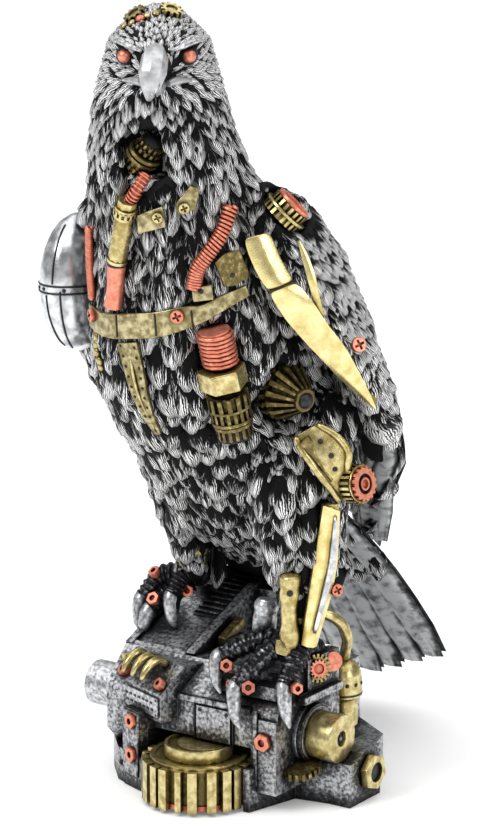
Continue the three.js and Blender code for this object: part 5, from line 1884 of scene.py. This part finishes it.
# %% Gearbox
front_plate = block("gearbox_plate", (-12.4, -0.7, 25.4), (12.4, 0.3, 31.8), GEARBOX, 0.3)
finish(front_plate, "edge_silver", ["plinth"], 40)
dashes = []
for row, z in enumerate((29.8, 27.6)):
    for k in range(9):
        x = -10.4 + 2.35 * k + 0.5 * row
        dashes.append(block("dash", (x, -0.85, z - 0.3), (x + 1.3, -0.4, z + 0.3), GEARBOX, 0))
for x, z in ((-11.6, 31), (11.6, 31), (-11.6, 26.2), (11.6, 26.2)):
    dashes.append(block("plate_dot", (x - 0.3, -0.85, z - 0.3), (x + 0.3, -0.4, z + 0.3), GEARBOX, 0))
finish(merge("gearbox_dashes", dashes), "black_recess", ["plinth"], 40)
for label in ("gearbox_hook_1", "gearbox_hook_2", "gearbox_hook_3"):
    hook = solid_copy(label, label + "_round")
    apply_modifier(hook, "SUBSURF", levels=2, render_levels=2)
    finish(hook, "antique_brass", [label])
bands = [
    block("brass_band", (-14.8, -0.7, 25.4), (-12.5, 5, 33.4), GEARBOX, 0.4),
    block("brass_band", (-13.4, -1.2, 21), (-6.6, 5, 24.4), GEARBOX, 0.4),
    block("brass_band", (-14.6, 0.4, 16.8), (-9.6, 6, 19.8), GEARBOX, 0.4),
    block("brass_band", (-14, 3, 36.2), (-11.6, 7, 39.8), GEARBOX, 0.4),
]
finish(merge("gearbox_bands", bands), "antique_brass", ["plinth"], 40)
print("gearbox with", len(dashes), "marks")

# %% [markdown]
# Copper nuts hold the gearbox, its bracket and the engine's front. A turned silver drum closes the left
# end of the engine.

# %% Plinth nuts and left drum
UP_FRONT = (-0.36, -0.7, 0.6)
BRACKET_FACE = (-0.36, -0.93, 0)
PLINTH_NUTS = [
    ((-25.4, -20.2, 35.6), UP_FRONT, 2.4),
    ((-6.2, -27.6, 35.8), UP_FRONT, 2.0),
    ((-15.8, -29.7, 22.6), BRACKET_FACE, 2.6),
    ((-15.8, -29.7, 11.4), BRACKET_FACE, 2.6),
    ((31.4, -25, 23), (0, -1, 0), 3.0),
]
copper = []
for place, axis, radius in PLINTH_NUTS:
    piece = nut("plinth_nut", radius, -0.8, 1.4, radius * 0.42)
    copper.append(stand(piece, bird(*place), Vector(axis), 0.3))
finish(merge("plinth_nuts", copper), "copper_rose", ["plinth"], 35)
drum_end = sink_cap(drum("left_drum", 7.4, -47.2, -30, 40), 1.0, 0.4, top=False)
soften(drum_end, 0.6, 3)
drum_end.data.transform(along_axis((0, -6, 24), (1, 0, 0)))
finish(drum_end, "edge_silver", ["plinth"], 40)
print("plinth nuts", len(PLINTH_NUTS))

# %% [markdown]
# Panels and seams of the engine block: a framed plate on its front, seam lines along its upper edge, a
# bracket plate, a ledge at the right end and a dark brass bar beside the slab.

# %% Engine panels
BRACKET = along_axis((-17, -29, 0), (0, 0, 1), -0.37)
panels = [
    block("front_panel", (5.6, -24.9, 19.6), (18.6, -23.6, 30.6), BIRD, 0.3),
    block("upper_panel", (-2, -24.6, 31), (26, -22.6, 33), BIRD, 0.4),
    block("end_plate", (36.6, -14, 33.4), (40, 8, 36), BIRD, 0.4),
    block("end_rib", (27.6, -25.6, 8), (29.2, -24.4, 33), BIRD, 0.4),
    block("bracket_plate", (-4.4, -0.9, 4), (4.4, 0.4, 25.6), BRACKET, 0.5),
]
finish(merge("engine_panels", panels), "aged_silver", ["plinth"], 40)
marks = []
for x, z in ((7, 29.2), (17.2, 29.2), (7, 21), (17.2, 21)):
    marks.append(rivet("panel_dot", 0.55, 0.3, bird(x, -24.95, z), Vector((0, -1, 0))))
HOLES = [
    ((36.2, -20.9, 18.8), (1, 0, 0)),
    ((36.2, -15.9, 14.3), (1, 0, 0)),
    ((-23, -26.4, 6.4), BRACKET_FACE),
]
for place, axis in HOLES:
    marks.append(rivet("casting_hole", 0.9, 0.35, bird(*place), Vector(axis)))
SEAM_LINES = [
    ((19.4, -24.4, 19), (19.4, -24.4, 30.8)),
    ((4.8, -24.4, 19), (4.8, -24.4, 30.8)),
    ((37.6, -13.6, 36.2), (37.6, 8, 36.2)),
]
for start, stop in SEAM_LINES:
    marks.append(rod("panel_seam", smooth_path([bird(*start), bird(*stop)], 6), [0.3, 0.3], 6))
finish(merge("engine_marks", marks), "black_recess", ["plinth"])
valve_post = block("valve_post", (-2.6, -1, 41), (2, 8, 45.6), BIRD, 0.4)
finish(valve_post, "black_recess", ["plinth"], 40)
valve_bar = block("valve_bar", (15, 11, -3), (18.2, 23, 0.2), SLAB, 0.5)
finish(valve_bar, "dark_brass", ["plinth"], 40)
print("engine panels", len(panels))

# %% [markdown]
# The spur gear at the front lies on its side with bold teeth and a raised hub. A crescent is left where a
# second disc sits off centre. A dark brass drum between the teeth is painted shade, and a low copper ring
# at their foot is painted orange glints of reflected light.

# %% Spur gear
GEAR_PLACE = Matrix.Translation(bird(7.2, -25.5, 0))
spur = soften(gear("spur_wheel", 18.3, 22, 2.6, 1, 14.3, 3, 5), 0.6, 3, 30)
rim = soften(sink_cap(drum("spur_rim", 15.6, 14, 15.2, 48), 1.6, 0.5), 0.3)
hub = soften(sink_cap(drum("spur_hub", 11, 14.6, 19, 48), 1.1, 1.2), 0.35)
crescent = drum("spur_crescent", 8.4, 17, 18.7, 40)
crescent.data.transform(Matrix.Translation((0.9 * MM, 1.2 * MM, 0)))
soften(crescent, 0.35)
for piece in (spur, rim, hub, crescent):
    piece.data.transform(GEAR_PLACE)
finish(merge("spur_gear_toothed", [spur, rim, hub, crescent]), "antique_brass", ["spur_gear"], 35)
# A dark brass drum just over the roots of the teeth: painted shade between them.
gaps = drum("spur_tooth_shade", 15.8, 1.4, 13.6, 40)
gaps.data.transform(GEAR_PLACE)
finish(gaps, "dark_brass", ["spur_gear"], 40)
# A low copper ring between the teeth: painted orange glints of reflected light.
glow = drum("spur_glints", 16.2, 1.2, 2.8, 40)
glow.data.transform(GEAR_PLACE)
finish(glow, "copper_rose", ["spur_gear"], 40)
print("spur gear", len(spur.data.polygons), "faces")

# %% [markdown]
# The right end: a turned flange and a brass cap with a bored end, the foot block's nut and a small
# toothed wheel under the engine. The cap is a cylinder whose end face is inset twice and pushed in.

# %% Right end
END = along_axis((0, -6, 22), (1, 0, 0))
flange = [
    soften(drum("flange", 10, 34, 37.6, 48), 0.6),
    soften(drum("flange_step", 9, 37.6, 39.4, 48), 0.4),
]
for piece in flange:
    piece.data.transform(END)
finish(merge("end_flange", flange), "edge_silver", ["plinth"], 40)
cap_drum = soften(sink_cap(drum("cap_drum", 7.8, 39.4, 48.5, 48), 5.4, 1.2), 0.5)
cap_drum.data.transform(END)
finish(cap_drum, "antique_brass", ["engine_end_cap"], 40)
# A black disc at the floor of the cap's bore: painted shade.
cap_bore_shade = drum("cap_bore_shade", 2.3, 46.9, 47.5, 24)
cap_bore_shade.data.transform(END)
finish(cap_bore_shade, "black_recess", ["engine_end_cap"], 40)
cap_pin = rivet("cap_pin", 0.9, 0.8, bird(47.5, -6, 22), Vector((1, 0, 0)))
finish(cap_pin, "edge_silver", ["engine_end_cap"])
nut_place = centre("footing_nut") - Vector((1.2 * MM, 0, 0))
foot_nut = stand(nut("foot_nut", 6.1, -0.4, 2.4, 3.3), nut_place, Vector((1, 0, 0)), 0.2)
finish(foot_nut, "antique_brass", ["footing_nut"], 35)
# A black disc in the nut's bore: painted shade.
nut_bore_shade = stand(drum("foot_nut_bore", 3.2, 0.2, 1.5, 24), nut_place, Vector((1, 0, 0)))
finish(nut_bore_shade, "black_recess", ["footing_nut"], 40)
low_wheel = stand(gear("low_wheel", 7, 20, 1.1, -1.2, 1.2), bird(37.4, -13.6, 13), Vector((0.1, -0.25, 1)))
finish(low_wheel, "dark_brass", ["plinth"], 35)
print("end cap and foot nut")

# %% [markdown]
# The tank is a dome on a thinner stem. Its outline is a list of heights and radii, and a rod along a
# straight path takes them as they are. A bent brass strap, rounded like a pipe, runs from behind the leg
# to the top of the dome.

# %% Tank and strap
TANK = (33.2, 18.5)
TANK_Z = [17.8, 26.6, 27.4, 33, 35, 36.8, 38.2, 39.2, 39.8]
TANK_RADIUS = [4.8, 4.8, 6.2, 6.2, 5.9, 5.2, 4.1, 2.6, 0.3]
heights = np.linspace(TANK_Z[0], TANK_Z[-1], 60)
outline = [float(r) for r in np.interp(heights, TANK_Z, TANK_RADIUS)]
tank = rod("tank_round", [bird(*TANK, float(z)) for z in heights], outline, 36)
finish(tank, "antique_brass", ["tank"], 50)
tank_marks = [stand(drum("tank_seam", 6.35, -0.25, 0.25, 40), bird(*TANK, 28.4), Vector((0, 0, 1)))]
for angle in (-75, -45, -15, 15):
    out = Vector((math.cos(math.radians(angle)), math.sin(math.radians(angle)), 0))
    tank_marks.append(rivet("tank_rivet", 0.7, 0.45, bird(*TANK, 32) + out * 6.1 * MM, out))
finish(merge("tank_marks", tank_marks), "black_recess", ["tank"], 40)
STRAP = [(31, 5, 57.6), (34, 8, 56.8), (36.4, 12, 53.3), (36.8, 15, 47.9), (35, 17, 43), (33.6, 18.3, 39)]
strap = rod("bent_strap", smooth_path([bird(*place) for place in STRAP], 28), [1.4, 1.8, 1.9, 1.8, 1.6], 14)
finish(strap, "antique_brass", ["plinth"])
strap_mark = rivet("strap_rivet", 0.6, 0.35, bird(36, 9.2, 55.6), Vector((0.6, -0.75, 0.3)))
finish(strap_mark, "black_recess", ["plinth"])
print("tank of", len(TANK_Z), "heights")

# %% [markdown]
# On the end block sit a small copper gear on a toothed brass ring, and beside it a plain copper disc.

# %% End block
END_FACE = Vector((0.8, -0.58, 0.15))
copper_gear = sink_cap(gear("copper_gear", 3.0, 14, 0.5, 0.4, 1.8), 0.8, 0.6)
copper_disc = soften(drum("copper_disc", 3.2, -0.4, 1.2, 28), 0.3)
stand(copper_gear, bird(38, -4.4, 43), END_FACE)
stand(copper_disc, bird(37.8, 4.6, 43), END_FACE)
finish(merge("end_copper", [copper_gear, copper_disc]), "copper_rose", ["plinth"], 35)
teeth_ring = stand(gear("teeth_ring", 4.6, 18, 1.0, -0.8, 0.6), bird(38, -4.4, 43), END_FACE)
finish(teeth_ring, "antique_brass", ["plinth"], 35)
print("right end")

# %% [markdown]
# Every solid stays in the frame, also where a mesh stands for it, so each one gets the paint of its
# material slot.

# %% Paint the solids that are kept
for item in frame["record"]["subparts"]:
    solid = nodes[item["node"]]
    solid.data.materials.clear()
    solid.data.materials.append(PAINTS[item["material_slot"]])
print("solids painted", len(nodes))
